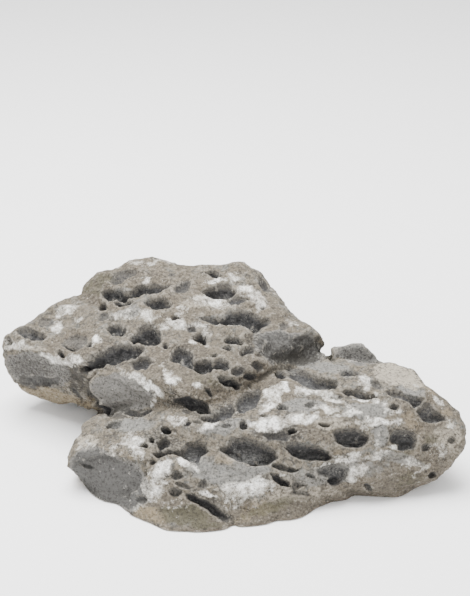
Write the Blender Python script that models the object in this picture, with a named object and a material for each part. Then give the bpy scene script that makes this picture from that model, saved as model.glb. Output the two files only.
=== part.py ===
"""A pitted seiryu stone, one weathered piece of grey limestone lying on a flat foot.

The stone is a union of rough lobes round one heart. Each lobe is the hull of its corner points, and a
corner is written as the picture column and row where it is seen, with its real height above the ground.
The pits are written the same way, a large one as its rim and a small one as an ellipse, and are sunk
into the surface.
"""

import math

import bmesh
import bpy
import numpy as np
from mathutils.bvhtree import BVHTree

MM = 0.001

# Driving dimensions, in millimetres
STONE_LENGTH = 327.0
HEART = np.array([-12.0, -8.0, 36.0])
CORE_RADIUS = 22.0
KNOB_CORE_RADIUS = 8.0
GROUND_CORNER = 3.0
BELOW_GROUND = 16.0
LEVEL_WITHIN = 0.25
STRETCH = np.array([160.0, 100.0, 52.0])
EDGE_SOFTNESS = 2.6
VALLEY_SOFTNESS = 3.2
COARSE_STEPS = 12
DOUBLINGS = 3
NEAR_SIDE_PULL = 1.4
NORMAL_ROUNDS = 8
SLIDE_ROUNDS = 5
UNFOLD_ROUNDS = 16
RIM_ROUNDS = 3
FOLD_LIMIT = 0.1
SOLID_TRIANGLES = 9400

# The stone's beds dip to the right and towards the viewer
BED_NORMAL = np.array([0.25, -0.12, 0.96])
BED_STRETCH = 5.0
SCALLOP_STRETCH = np.array([1.7, 1.3, 1.0])

# The line of sight that the columns and rows are read along
SIGHT_ELEVATION = math.radians(30)
SIGHT_MIDDLE = np.array([0.0, 0.0, 45.0])
MIDDLE_COLUMN, MIDDLE_ROW = 235.0, 394.0
PICTURE_COLUMN, PICTURE_ROW = 235.0, 298.0
STONE_COLUMNS = 466.0
LENS = 85.0
SENSOR = 36.0
FOCAL_ROWS = LENS / SENSOR * 596
EYE_DISTANCE = STONE_LENGTH / STONE_COLUMNS * FOCAL_ROWS
SIGHT_DIP = SIGHT_ELEVATION - math.atan((MIDDLE_ROW - PICTURE_ROW) / FOCAL_ROWS)
TOWARDS_EYE = np.array([0, -math.cos(SIGHT_ELEVATION), math.sin(SIGHT_ELEVATION)])
EYE = SIGHT_MIDDLE + EYE_DISTANCE * TOWARDS_EYE
AHEAD = np.array([0, math.cos(SIGHT_DIP), -math.sin(SIGHT_DIP)])
ASIDE = np.array([1.0, 0, 0])
UPWARD = np.array([0, math.sin(SIGHT_DIP), math.cos(SIGHT_DIP)])

# Corners of the lobes that are seen: column, row, height in millimetres
REAR_SLAB = (
    (131, 258, 100), (155, 257, 103), (180, 264, 103), (220, 265, 104), (241, 261, 104), (257, 270, 99),
    (270, 288, 92), (290, 312, 85), (312, 325, 80), (325, 345, 64), (100, 270, 95), (83, 285, 88),
    (52, 304, 79), (30, 318, 72), (10, 330, 65), (3, 345, 55), (3, 357, 46), (7, 370, 34), (17, 388, 18),
    (40, 352, 62), (57, 360, 61), (75, 366, 60), (40, 399, 10), (68, 408, 6), (175, 385, 72),
    (235, 372, 76),
)
FRONT_SLAB = (
    (334, 358, 66), (345, 362, 70), (393, 361, 72), (403, 364, 72), (415, 372, 70), (433, 388, 66),
    (447, 399, 60), (457, 410, 54), (467, 437, 40), (460, 458, 27), (443, 473, 16), (425, 484, 9),
    (405, 495, 3), (385, 498, 1), (355, 497, 0), (317, 508, 0), (290, 520, 0), (255, 525, 0),
    (232, 526, 0), (250, 415, 59), (330, 420, 57), (400, 425, 52), (230, 495, 20), (300, 490, 19),
    (370, 478, 16), (430, 465, 18), (150, 425, 46), (200, 425, 54),
)
LEFT_FOOT = (
    (95, 417, 40), (83, 422, 38), (80, 430, 36), (75, 442, 33), (70, 450, 30), (66, 457, 26),
    (66, 464, 22), (80, 480, 12), (96, 498, 4), (113, 503, 1), (130, 512, 0), (148, 461, 34),
    (150, 430, 46), (150, 415, 49),
)
NOSE = (
    (155, 459, 35), (180, 459, 37), (195, 468, 36), (147, 476, 27), (140, 490, 18), (128, 501, 9),
    (131, 513, 2), (150, 524, 0), (170, 530, 0), (190, 532, 0), (215, 530, 0), (232, 526, 0),
    (225, 495, 20),
)
SHOULDER = (
    (83, 383, 55), (90, 374, 62), (98, 365, 66), (110, 363, 68), (135, 365, 70), (84, 390, 48),
    (92, 402, 40), (95, 409, 36), (120, 380, 64), (135, 387, 62), (152, 396, 58), (153, 411, 46),
    (125, 412, 42), (170, 378, 75),
)
KNOB = (
    (334, 350, 62), (335, 343, 67), (358, 339, 71), (364, 340, 70), (372, 350, 63), (380, 360, 56),
    (335, 360, 55),
)

# Corners that the picture hides: across, back and up, in millimetres
REAR_SLAB_BACK = (
    (-122, 100, 6), (-95, 116, 48), (-40, 108, 0), (-18, 119, 52), (22, 96, 0), (44, 94, 56), (66, 58, 8),
    (-160, 68, 22), (-150, 84, 48),
)
LEFT_FOOT_BACK = (
    (-97, 12, 0), (-95, 12, 20), (-107, -26, 2), (-104, -42, 0), (-96, -58, 0), (-84, -74, 0),
)
FRONT_SLAB_BACK = (
    (70, 25, 4), (112, 16, 30), (118, 8, 4), (146, -8, 32), (138, -18, 8),
)
KNOB_BACK = (
    (100, 46, 36), (104, 43, 48), (92, 46, 64), (75, 46, 61), (84, 52, 34), (70, 46, 30), (102, 34, 22),
)
# The foot that carries all the lobes
FOOT_SEEN = (
    (101, 413, 32), (125, 413, 38), (150, 410, 43), (104, 440, 8), (100, 494, 2), (131, 508, 0),
    (190, 527, 0), (317, 503, 0), (385, 493, 1), (430, 478, 10), (455, 440, 30), (250, 440, 42),
    (380, 420, 40), (170, 400, 40),
)
FOOT_BACK = (
    (-108, 40, 0), (-106, 44, 22), (-116, 66, 0), (-112, 82, 0), (-100, 96, 20), (-40, 102, 0),
    (25, 92, 0), (60, 60, 0), (96, 22, 0), (124, -8, 0), (78, 46, 30), (68, 24, 54), (40, 70, 50),
    (-60, 90, 60),
)

# The stone's outline as it is seen, clockwise from its left tip: column, row
OUTLINE_MIDDLE = (240, 380)
OUTLINE = (
    (2, 351), (3, 337), (6, 333), (12, 329), (20, 326), (30, 320), (40, 314), (52, 304), (68, 297),
    (79, 294), (81, 290), (86, 282), (90, 279), (98, 271), (103, 270), (116, 268), (119, 266), (130, 260),
    (131, 258), (137, 259), (154, 257), (160, 259), (170, 261), (180, 264), (190, 266), (222, 265),
    (232, 262), (240, 261), (246, 263), (250, 267), (258, 270), (262, 273), (270, 285), (276, 291),
    (281, 298), (290, 311), (300, 320), (310, 325), (316, 330), (321, 335), (325, 346), (336, 347),
    (347, 344), (361, 342), (370, 350), (380, 361), (393, 361), (398, 363), (411, 368), (418, 374),
    (422, 380), (434, 390), (443, 396), (452, 404), (460, 412), (466, 426), (467, 434), (465, 448),
    (461, 455), (456, 459), (455, 463), (444, 473), (440, 479), (430, 483), (414, 489), (406, 495),
    (397, 498), (368, 496), (353, 496), (347, 500), (332, 502), (317, 508), (303, 517), (297, 519),
    (276, 521), (268, 524), (240, 527), (232, 525), (227, 529), (215, 531), (190, 532), (165, 530),
    (150, 523), (133, 516), (120, 506), (113, 503), (106, 502), (95, 497), (87, 489), (82, 482),
    (72, 471), (66, 466), (66, 463), (69, 460), (66, 456), (67, 452), (71, 449), (73, 443), (81, 431),
    (80, 427), (82, 423), (88, 419), (96, 415), (94, 410), (80, 406), (68, 408), (50, 403), (30, 395),
    (17, 388), (10, 376), (5, 368),
)

# Large pits that are seen: depth in millimetres, then the rim's columns and rows, clockwise
REAR_PITS = (
    (7, (100, 291), (105, 286), (120, 286), (129, 289), (144, 286), (160, 282), (174, 283), (169, 288),
     (160, 292), (152, 295), (138, 297), (129, 296), (124, 298), (108, 299), (102, 296)),
    (7.5, (114, 302), (120, 298), (129, 298), (133, 302), (129, 305), (122, 307), (116, 305)),
    (7, (144, 302), (151, 298), (160, 298), (168, 300), (172, 304), (169, 309), (160, 311), (152, 308),
     (147, 305)),
    (6.5, (106, 329), (110, 324), (118, 322), (126, 326), (125, 331), (120, 335), (112, 334)),
    (9.5, (129, 338), (133, 332), (142, 325), (154, 324), (162, 331), (162, 340), (156, 346), (146, 345),
     (140, 342), (133, 343)),
    (9, (91, 357), (103, 350), (109, 345), (119, 342), (129, 342), (143, 346), (145, 349), (141, 354),
     (136, 360), (126, 362), (114, 364), (106, 363), (99, 366), (93, 369), (84, 374), (79, 369), (84, 361)),
    (6, (129, 364), (140, 358), (148, 357), (155, 363), (149, 365), (146, 370), (138, 370)),
    (8, (171, 350), (178, 346), (188, 348), (194, 353), (192, 362), (188, 365), (180, 362), (170, 359)),
    (9, (188, 365), (193, 359), (204, 357), (214, 360), (220, 357), (229, 362), (230, 368), (224, 369),
     (214, 368), (210, 371), (198, 371)),
    (7.5, (192, 335), (198, 330), (204, 331), (207, 336), (204, 340), (198, 338)),
    (7, (224, 338), (228, 333), (236, 336), (242, 341), (240, 344), (232, 342)),
    (8, (195, 314), (208, 314), (220, 314), (228, 310), (240, 307), (256, 310), (269, 315), (272, 320),
     (262, 325), (261, 331), (253, 333), (246, 328), (237, 324), (228, 324), (216, 323), (200, 319)),
    (7, (201, 289), (208, 285), (220, 283), (230, 283), (237, 288), (235, 293), (226, 296), (216, 296),
     (206, 294)),
    (5, (227, 298), (234, 294), (242, 295), (250, 298), (240, 301), (238, 304), (231, 303)),
    (6.5, (206, 271), (211, 269), (217, 271), (220, 275), (218, 277), (212, 276)),
    (7, (216, 376), (224, 375), (234, 379), (241, 385), (238, 388), (228, 386), (220, 381)),
    (5, (239, 350), (248, 345), (255, 347), (252, 352), (242, 354)),
    (5, (18, 329), (23, 327), (33, 328), (41, 331), (46, 334), (43, 338), (34, 339), (26, 337), (19, 333)),
    (2.6, (61, 339), (69, 333), (77, 331), (87, 334), (89, 343), (84, 349), (74, 351), (66, 347)),
    (5.5, (61, 340), (67, 343), (73, 346), (74, 349), (69, 349), (64, 344)),
    (2.2, (19, 378), (29, 376), (37, 377), (46, 379), (53, 377), (56, 381), (54, 385), (46, 387),
     (31, 386), (21, 384)),
    (4, (67, 388), (74, 390), (83, 399), (81, 402), (71, 397)),
)
SHOULDER_PITS = (
    (7.5, (173, 398), (178, 396), (190, 395), (200, 399), (208, 405), (211, 413), (204, 414), (192, 410),
     (180, 404), (174, 401)),
    (6.5, (236, 404), (238, 398), (246, 391), (258, 387), (263, 390), (260, 398), (254, 406), (242, 411),
     (237, 409)),
    (6, (214, 412), (220, 406), (230, 405), (236, 409), (230, 415), (222, 418), (212, 421), (202, 420),
     (198, 417), (208, 415)),
    (5, (124, 411), (129, 409), (140, 412), (151, 409), (152, 412), (146, 415), (134, 416), (125, 414)),
    (5, (103, 411), (109, 411), (113, 415), (109, 418), (105, 415)),
    (4, (103, 427), (112, 422), (120, 421), (118, 427), (108, 429)),
)
FRONT_PITS = (
    (6.5, (284, 373), (287, 369), (298, 367), (310, 371), (320, 377), (330, 379), (338, 380), (336, 386),
     (324, 387), (310, 386), (300, 382), (294, 379)),
    (5.5, (340, 374), (345, 370), (352, 369), (359, 371), (358, 375), (350, 377), (342, 376)),
    (5.5, (343, 391), (348, 388), (358, 388), (366, 392), (377, 395), (378, 397), (366, 398), (354, 396),
     (346, 394)),
    (4.5, (386, 391), (396, 389), (404, 393), (414, 396), (423, 400), (420, 407), (414, 408), (410, 403),
     (400, 399), (390, 396)),
    (4.5, (416, 412), (422, 402), (430, 402), (438, 412), (446, 421), (436, 422), (424, 421)),
    (7, (332, 431), (340, 428), (352, 427), (364, 431), (371, 437), (368, 443), (363, 447), (348, 447),
     (338, 443)),
    (5, (389, 437), (394, 430), (406, 428), (416, 433), (418, 440), (414, 449), (404, 448), (392, 444)),
    (8.5, (216, 449), (226, 444), (230, 437), (244, 435), (260, 440), (276, 449), (278, 457), (268, 464),
     (252, 465), (240, 461), (230, 456), (220, 452)),
    (7, (286, 443), (296, 441), (308, 443), (320, 447), (329, 452), (332, 458), (328, 461), (314, 461),
     (300, 459), (290, 453), (284, 448)),
    (3, (262, 434), (272, 430), (286, 430), (294, 432), (290, 437), (286, 441), (276, 441), (266, 439)),
    (3.5, (270, 463), (280, 463), (290, 467), (299, 470), (292, 472), (280, 470), (272, 467)),
    (7, (271, 473), (277, 474), (284, 479), (289, 482), (288, 486), (280, 484), (273, 478)),
    (2.5, (290, 485), (296, 481), (306, 485), (300, 488), (294, 490)),
    (4, (316, 468), (332, 461), (344, 464), (350, 469), (348, 479), (338, 485), (331, 484), (328, 477),
     (318, 475)),
    (7, (152, 453), (160, 450), (172, 451), (180, 450), (188, 442), (200, 440), (206, 446), (208, 451),
     (200, 457), (198, 462), (188, 461), (180, 458), (168, 456), (156, 457)),
    (4.5, (158, 442), (164, 439), (170, 443), (169, 448), (160, 449)),
    (8, (186, 494), (192, 493), (204, 500), (220, 510), (230, 517), (231, 523), (224, 520), (210, 511),
     (196, 503), (188, 499)),
)
# Small pits that are seen: column, row, half length, half width, tilt in degrees, depth in millimetres.
# A positive tilt runs down to the right.
SMALL_PITS = (
    (7, 341, 6, 3.5, -60, 2.5), (59, 353, 2.8, 3.6, 0, 4), (101, 306, 5, 4.4, 0, 5),
    (103, 317, 6, 4, -30, 2), (90, 347, 2.6, 3.4, 0, 4), (176, 318, 4.8, 2.8, 0, 5),
    (192, 326, 5, 3.4, -20, 3), (227, 347, 5.5, 3.2, 10, 4), (214, 354, 3.4, 2.6, 20, 4),
    (165, 345, 3, 3.4, 0, 4), (209, 393, 6, 2.4, 50, 3), (238, 371, 7, 4.2, -15, 3.5),
    (250, 376, 6, 3.6, 0, 4), (281, 375, 6, 4.6, 0, 6), (124, 276, 15, 4.6, -18, 2.4),
    (182, 287, 9, 5, -20, 2.5), (171, 272, 3, 1.8, 0, 2), (264, 305, 3, 2.4, 0, 3),
    (257, 366, 6.5, 3.2, 20, 3), (264, 284, 8, 2.8, 48, 3), (284, 325, 5, 4, 0, 2),
    (32, 316, 5, 2, -30, 1.5), (46, 322, 8, 5, -20, 1.6), (376, 384, 9, 4, 24, 2.2),
    (415, 404, 5, 3.6, 5, 5), (394, 407, 5, 2.8, 0, 3), (336, 396, 7, 3, 0, 2.6),
    (312, 403, 7, 3, -5, 2.4), (282, 406, 6, 3.4, 15, 3), (264, 415, 4, 2.2, 20, 2.4),
    (325, 424, 6, 3, 10, 2.6), (244, 424, 4.6, 6, 0, 5), (292, 431, 3.6, 3.4, 0, 6),
    (403, 447, 6, 3.6, 0, 4), (334, 481, 6, 4.5, 0, 5), (369, 488, 6, 2.6, 55, 4),
    (152, 440, 3.4, 3, 0, 5), (143, 445, 4.4, 2.6, 5, 5), (166, 431, 5.4, 3.4, 36, 5),
    (187, 424, 5, 2.8, -20, 4), (197, 422, 5, 2.2, 10, 3), (87, 466, 7, 2.2, 20, 1.6),
    (153, 462, 3.6, 2.6, 0, 2), (177, 475, 6.4, 4.8, 0, 2.2), (166, 475, 3.6, 3, 0, 1.6),
    (175, 492, 7, 4.6, 5, 2.6), (142, 500, 6, 4, 0, 2), (203, 484, 5, 5, 0, 1.8),
    (183, 485, 9, 3, 15, 1.8), (432, 475, 5, 3, -30, 3), (427, 447, 6, 4, 0, 2),
    (300, 493, 12, 3, 5, 1.2), (227, 425, 5, 3, 0, 1.5), (452, 440, 5, 4, 0, 2),
    (310, 475, 5, 2.4, 10, 2),
)
# Flat broken faces and one broad hollow that are seen: depth in millimetres, width of the edge in columns,
# then the rim
BROKEN_FACES = (
    (1.6, 1.5, (85, 381), (94, 371), (100, 376), (109, 376), (119, 381), (129, 389), (143, 393),
     (151, 399), (153, 410), (140, 411), (124, 411), (109, 411), (99, 411), (93, 404), (84, 393)),
    (2.2, 1.5, (66, 462), (86, 459), (100, 455), (112, 455), (126, 460), (146, 461), (148, 474),
     (140, 488), (128, 498), (126, 512), (106, 506), (94, 500), (80, 486), (68, 472)),
    (1.2, 1.5, (330, 345), (358, 338), (366, 340), (384, 362), (330, 364)),
    (5, 7, (272, 333), (282, 330), (296, 333), (309, 332), (320, 338), (328, 345), (325, 354), (318, 361),
     (306, 363), (290, 366), (278, 365), (260, 358), (250, 352), (260, 347), (268, 340)),
    (1.0, 4, (2, 360), (14, 352), (30, 351), (42, 355), (56, 363), (60, 374), (54, 378), (36, 377),
     (18, 378), (5, 372)),
)
# The gap that parts the knob from the rear slab, and how far it is sunk
GAP = ((324, 340), (334, 340), (334, 360), (330, 361), (326, 352))
GAP_DEPTH = 12.0
DEEPENING = 1.6
HOLLOW_FROM = 7.0
UNDERCUT = 0.3
RIM_WANDER = 2.4

# Pits on the sides that the picture hides
HIDDEN_PITS = 260
HIDDEN_PIT_LENGTH = (3.5, 15.0)


def spot(column, row, height):
    """The point at that height which is seen at a column and row: the sight line cut by a level plane."""
    line = AHEAD + ASIDE * (column - PICTURE_COLUMN) / FOCAL_ROWS + UPWARD * (PICTURE_ROW - row) / FOCAL_ROWS
    return EYE + line * (height - EYE[2]) / line[2]


def seen_at(points):
    """The column and row where each point is seen: its offset across the sight line over its distance."""
    offset = points - EYE
    away = offset @ AHEAD
    return np.stack([
        PICTURE_COLUMN + FOCAL_ROWS * (offset @ ASIDE) / away,
        PICTURE_ROW - FOCAL_ROWS * (offset @ UPWARD) / away,
    ], axis=1)


def smooth_step(low, high, value):
    """0 up to low, 1 from high, and 3t^2 - 2t^3 between them."""
    t = np.clip((value - low) / (high - low), 0, 1)
    return t * t * (3 - 2 * t)


def lattice_noise(points, size, seed):
    """Gradient noise from -1 to 1: hashed slopes at the corners of a lattice of that size, blended."""
    place = points / size
    cell = np.floor(place).astype(np.int64)
    inside = place - cell
    ease = inside ** 3 * (inside * (inside * 6 - 15) + 10)
    total = np.zeros(len(points))
    for corner in np.ndindex(2, 2, 2):
        at = cell + corner
        code = (at[:, 0] * 73856093) ^ (at[:, 1] * 19349663) ^ (at[:, 2] * 83492791) ^ (seed * 2654435761)
        code = (code ^ (code >> 15)) * 2246822519 & 0xFFFFFFFF
        code = (code ^ (code >> 13)) * 3266489917 & 0xFFFFFFFF
        slope = np.stack([(code >> shift & 255) / 127.5 - 1 for shift in (0, 8, 16)], axis=1)
        share = np.prod(np.where(corner, ease, 1 - ease), axis=1)
        total += share * np.sum(slope * (inside - corner), axis=1)
    return total


def rough(points, size, octaves, seed):
    """A sum of octaves of noise, each of half the size and half the height of the one before."""
    return sum(lattice_noise(points, size / 2 ** n, seed + n) / 2 ** n for n in range(octaves))


def scallops(points, size, seed):
    """Cups that meet in sharp crests: the squared distance to the nearest of many scattered middles.

    Each cell of a lattice of that size holds one middle at a hashed place. The value is 0 in a middle and
    about 1 on a crest.
    """
    place = points / size
    cell = np.floor(place).astype(np.int64)
    nearest = np.full(len(points), 9.0)
    for step in np.ndindex(3, 3, 3):
        at = cell + step - 1
        code = (at[:, 0] * 73856093) ^ (at[:, 1] * 19349663) ^ (at[:, 2] * 83492791) ^ (seed * 2654435761)
        code = (code ^ (code >> 15)) * 2246822519 & 0xFFFFFFFF
        code = (code ^ (code >> 13)) * 3266489917 & 0xFFFFFFFF
        middle = at + np.stack([(code >> shift & 255) / 255 for shift in (0, 8, 16)], axis=1)
        nearest = np.minimum(nearest, np.sum((place - middle) ** 2, axis=1))
    return np.minimum(nearest, 1)


def ball_grid(steps):
    """The six sides of a cube grid of directions, which points of the sides are one, and the faces.

    Each side is a function of two parameters from -1 to 1, evened out by a tangent.
    """
    turn = np.tan(np.linspace(-1, 1, steps + 1) * math.pi / 4)
    u, v = np.meshgrid(turn, turn, indexing="ij")
    sides = np.zeros((6, steps + 1, steps + 1, 3))
    for n in range(6):
        axis, side = n // 2, 1 - 2 * (n % 2)
        sides[n, ..., axis] = side
        sides[n, ..., (axis + 1) % 3] = u
        sides[n, ..., (axis + 2) % 3] = v * side
    sides /= np.linalg.norm(sides, axis=3, keepdims=True)
    number = np.arange(6 * (steps + 1) ** 2).reshape(6, steps + 1, steps + 1)
    corners = [number[:, :-1, :-1], number[:, 1:, :-1], number[:, 1:, 1:], number[:, :-1, 1:]]
    places = np.round(sides.reshape(-1, 3), 7)
    _, first, same = np.unique(places, axis=0, return_index=True, return_inverse=True)
    same = same.reshape(-1)
    return sides, first, same, same[np.stack(corners, axis=-1).reshape(-1, 4)]


def doubled(sides):
    """Side grids with a point added half way along every step, in both directions."""
    wide = np.zeros((6, 2 * sides.shape[1] - 1, sides.shape[2], 3))
    wide[:, ::2] = sides
    wide[:, 1::2] = (sides[:, 1:] + sides[:, :-1]) / 2
    full = np.zeros((6, wide.shape[1], 2 * wide.shape[2] - 1, 3))
    full[:, :, ::2] = wide
    full[:, :, 1::2] = (wide[:, :, 1:] + wide[:, :, :-1]) / 2
    return full


def blurred(values, faces, rounds):
    """Values at the points, each replaced by the mean of its faces' corners, round by round."""
    count = np.bincount(faces.reshape(-1), minlength=len(values))[:, None]
    for _ in range(rounds):
        middle = values[faces].mean(axis=1)
        values = np.stack([
            sum(np.bincount(faces[:, n], middle[:, axis], len(values)) for n in range(4))
            for axis in range(values.shape[1])
        ], axis=1) / count
    return values


def slid(points, faces, rounds):
    """Draws the points towards their neighbours along the surface, which fills steep walls with points."""
    for _ in range(rounds):
        normals = normals_of(points, faces)
        step = blurred(points, faces, 1) - points
        points = points + step - normals * np.sum(step * normals, axis=1)[:, None]
    return points


def unfolded(points, faces, rounds):
    """Smooths the points round any face that is turned over against the surface about it."""
    for _ in range(rounds):
        corner = points[faces]
        face_normals = np.cross(corner[:, 2] - corner[:, 0], corner[:, 3] - corner[:, 1])
        face_normals /= np.maximum(np.linalg.norm(face_normals, axis=1), 1e-9)[:, None]
        about = blurred(normals_of(points, faces), faces, 3)[faces].mean(axis=1)
        turned = np.sum(face_normals * about, axis=1) < FOLD_LIMIT * np.linalg.norm(about, axis=1)
        marked = np.zeros((len(points), 1))
        marked[faces[turned]] = 1
        marked = np.minimum(1, 3 * blurred(marked, faces, 2))
        points = points + marked * (blurred(points, faces, 2) - points)
    return points


def evened(points, faces, rounds):
    """Draws every point towards the middle of its neighbours and back onto the bare stone, round by round.

    Neighbours on the side that is seen pull harder, so that the grid is finest there.
    """
    for _ in range(rounds):
        seen = np.sum(normals_of(points, faces) * TOWARDS_EYE, axis=1)
        pull = 1 + NEAR_SIDE_PULL * smooth_step(-0.2, 0.3, seen)
        total = np.zeros_like(points)
        weight = np.zeros(len(points))
        for n in range(4):
            for near in (faces[:, (n + 1) % 4], faces[:, (n + 3) % 4]):
                weight += np.bincount(faces[:, n], pull[near], len(points))
                for axis in range(3):
                    total[:, axis] += np.bincount(faces[:, n], pull[near] * points[near, axis], len(points))
        points = reach(total / weight[:, None] - HEART)
    return points


def bare_stone(coarse, doublings):
    """The lobes without relief: a coarse grid spread evenly over them, then doubled and evened again."""
    sides, first, same, faces = ball_grid(coarse)
    points = evened(reach(sides.reshape(-1, 3)[first] * STRETCH), faces, 60)
    for n in range(doublings):
        sides = doubled(points[same].reshape(6, coarse * 2 ** n + 1, coarse * 2 ** n + 1, 3))
        _, first, same, faces = ball_grid(coarse * 2 ** (n + 1))
        points = slid(evened(sides.reshape(-1, 3)[first], faces, 18 // 2 ** n), faces, SLIDE_ROUNDS)
    return points, faces


def normals_of(points, faces):
    """The unit normal at each point: the crossed diagonals of the faces round it, added up."""
    corner = points[faces]
    across = np.cross(corner[:, 2] - corner[:, 0], corner[:, 3] - corner[:, 1])
    total = np.zeros_like(points)
    for axis in range(3):
        for n in range(4):
            total[:, axis] += np.bincount(faces[:, n], across[:, axis], len(points))
    return total / np.maximum(np.linalg.norm(total, axis=1), 1e-9)[:, None]


def core(radius):
    """Six points round the heart, so that every lobe grows out of the middle of the stone."""
    return [HEART + radius * side * axis for axis in np.eye(3) for side in (-1, 1)]


def hull_planes(corners):
    """The outward normals and offsets of the faces of the hull round the corners."""
    shell = bmesh.new()
    for corner in corners:
        shell.verts.new(corner)
    bmesh.ops.convex_hull(shell, input=shell.verts)
    shell.normal_update()
    planes = np.array([(*face.normal, face.normal.dot(face.verts[0].co)) for face in shell.faces])
    shell.free()
    inward = planes[:, :3] @ HEART > planes[:, 3]
    planes[inward] *= -1
    return planes[:, :3], planes[:, 3]


def soft_least(values, softness):
    """The least of each row, rounded where two are close, by a log of summed exponentials."""
    least = values.min(axis=1)
    return least - softness * np.log(np.exp((least[:, None] - values) / softness).sum(axis=1))


def lobes():
    """The corners of each lobe, in millimetres. Where a lobe meets the ground it goes on below it."""
    seen = (REAR_SLAB, FRONT_SLAB, LEFT_FOOT, NOSE, SHOULDER, KNOB, FOOT_SEEN)
    hidden = (REAR_SLAB_BACK, FRONT_SLAB_BACK, LEFT_FOOT_BACK, (), (), KNOB_BACK, FOOT_BACK)
    for near, far in zip(seen, hidden):
        corners = [spot(*corner) for corner in near] + [np.array(corner, float) for corner in far]
        corners += [corner - (0, 0, BELOW_GROUND) for corner in corners if corner[2] <= GROUND_CORNER]
        yield corners + core(KNOB_CORE_RADIUS if near is KNOB else CORE_RADIUS)


def reach(directions):
    """Where the bare stone ends along each direction from its heart.

    A ray leaves a lobe at the nearest of the lobe's planes that it crosses outwards, taken as a soft least,
    and leaves the stone with the farthest lobe, taken as a soft most. The ground cuts it off level.
    """
    lengths = np.linalg.norm(directions, axis=1)
    unit = directions / lengths[:, None]
    exits = []
    for corners in lobes():
        normals, offsets = hull_planes(corners)
        speed = unit @ normals.T
        crossing = (offsets - normals @ HEART) / np.maximum(speed, 1e-4)
        exits.append(soft_least(crossing, EDGE_SOFTNESS))
    farthest = -soft_least(-np.stack(exits, axis=1), VALLEY_SOFTNESS)
    ground = HEART[2] / np.maximum(-unit[:, 2], 1e-4)
    return HEART + unit * np.minimum(farthest, ground)[:, None]


def fitted_to_outline(points):
    """Moves the points across the line of sight, so that the stone's rim is seen on the outline.

    The rim is the farthest point in each of many sectors round the outline's middle. Its distance is scaled
    to the outline's, and the change fades out towards the middle. Points near the ground move level.
    """
    sectors = 480
    picture = seen_at(points) - OUTLINE_MIDDLE
    angle = np.arctan2(picture[:, 1], picture[:, 0])
    radius = np.linalg.norm(picture, axis=1)
    sector = np.floor((angle + math.pi) / (2 * math.pi) * sectors).astype(int) % sectors
    rim = np.zeros(sectors)
    np.maximum.at(rim, sector, radius)
    rim = np.maximum(rim, (np.roll(rim, 1) + np.roll(rim, -1)) / 2)
    drawn = np.array(OUTLINE, float) - OUTLINE_MIDDLE
    drawn_angle = np.arctan2(drawn[:, 1], drawn[:, 0])
    order = np.argsort(drawn_angle)
    at = (np.arange(sectors) + 0.5) / sectors * 2 * math.pi - math.pi
    goal = np.interp(at, drawn_angle[order], np.linalg.norm(drawn, axis=1)[order], period=2 * math.pi)
    ratio = np.clip(goal / rim, 0.92, 1.08)
    for _ in range(RIM_ROUNDS):
        ratio = (np.roll(ratio, 1) + 2 * ratio + np.roll(ratio, -1)) / 4
    here = np.interp(angle, at, ratio, period=2 * math.pi)
    share = smooth_step(0.5, 0.97, radius / np.interp(angle, at, rim, period=2 * math.pi))
    shift = picture * ((here - 1) * share)[:, None]
    away = ((points - EYE) @ AHEAD) / FOCAL_ROWS
    across = points + away[:, None] * (shift[:, :1] * ASIDE - shift[:, 1:] * UPWARD)
    sight = across - EYE
    level = EYE + sight * ((points[:, 2] - EYE[2]) / sight[:, 2])[:, None]
    raised = smooth_step(1.0, 12.0, points[:, 2])[:, None]
    return across * raised + level * (1 - raised)


def inside_by(picture, rim):
    """How many pixels each point lies inside a rim, and less than 0 outside it.

    That is the distance to the nearest side. A point is inside where a level ray from it crosses an odd
    number of sides.
    """
    starts = np.array(rim, float)
    nearest = np.full(len(picture), 1e9)
    inside = np.zeros(len(picture), bool)
    for start, end in zip(starts, np.roll(starts, -1, axis=0)):
        side = end - start
        offset = picture - start
        along = np.clip(offset @ side / (side @ side), 0, 1)
        nearest = np.minimum(nearest, np.linalg.norm(offset - along[:, None] * side, axis=1))
        crosses = (start[1] > picture[:, 1]) != (end[1] > picture[:, 1])
        turn = offset[:, 0] * side[1] - offset[:, 1] * side[0]
        inside ^= crosses & (turn * side[1] < 0)
    return np.where(inside, nearest, -nearest)


def wandering(points):
    """The columns and rows where the points are seen, shifted by noise so that drawn rims turn ragged."""
    shift = [rough(points, 8, 3, seed) for seed in (41, 47)]
    return seen_at(points) + RIM_WANDER * np.stack(shift, axis=1)


def pit_share(distance):
    """The depth of a pit at a distance from its middle, with its rim at 1: cupped, with a steep wall."""
    return (1 - smooth_step(0.62, 1.0, distance)) * (1 - 0.25 * np.minimum(distance, 1) ** 2)


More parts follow.
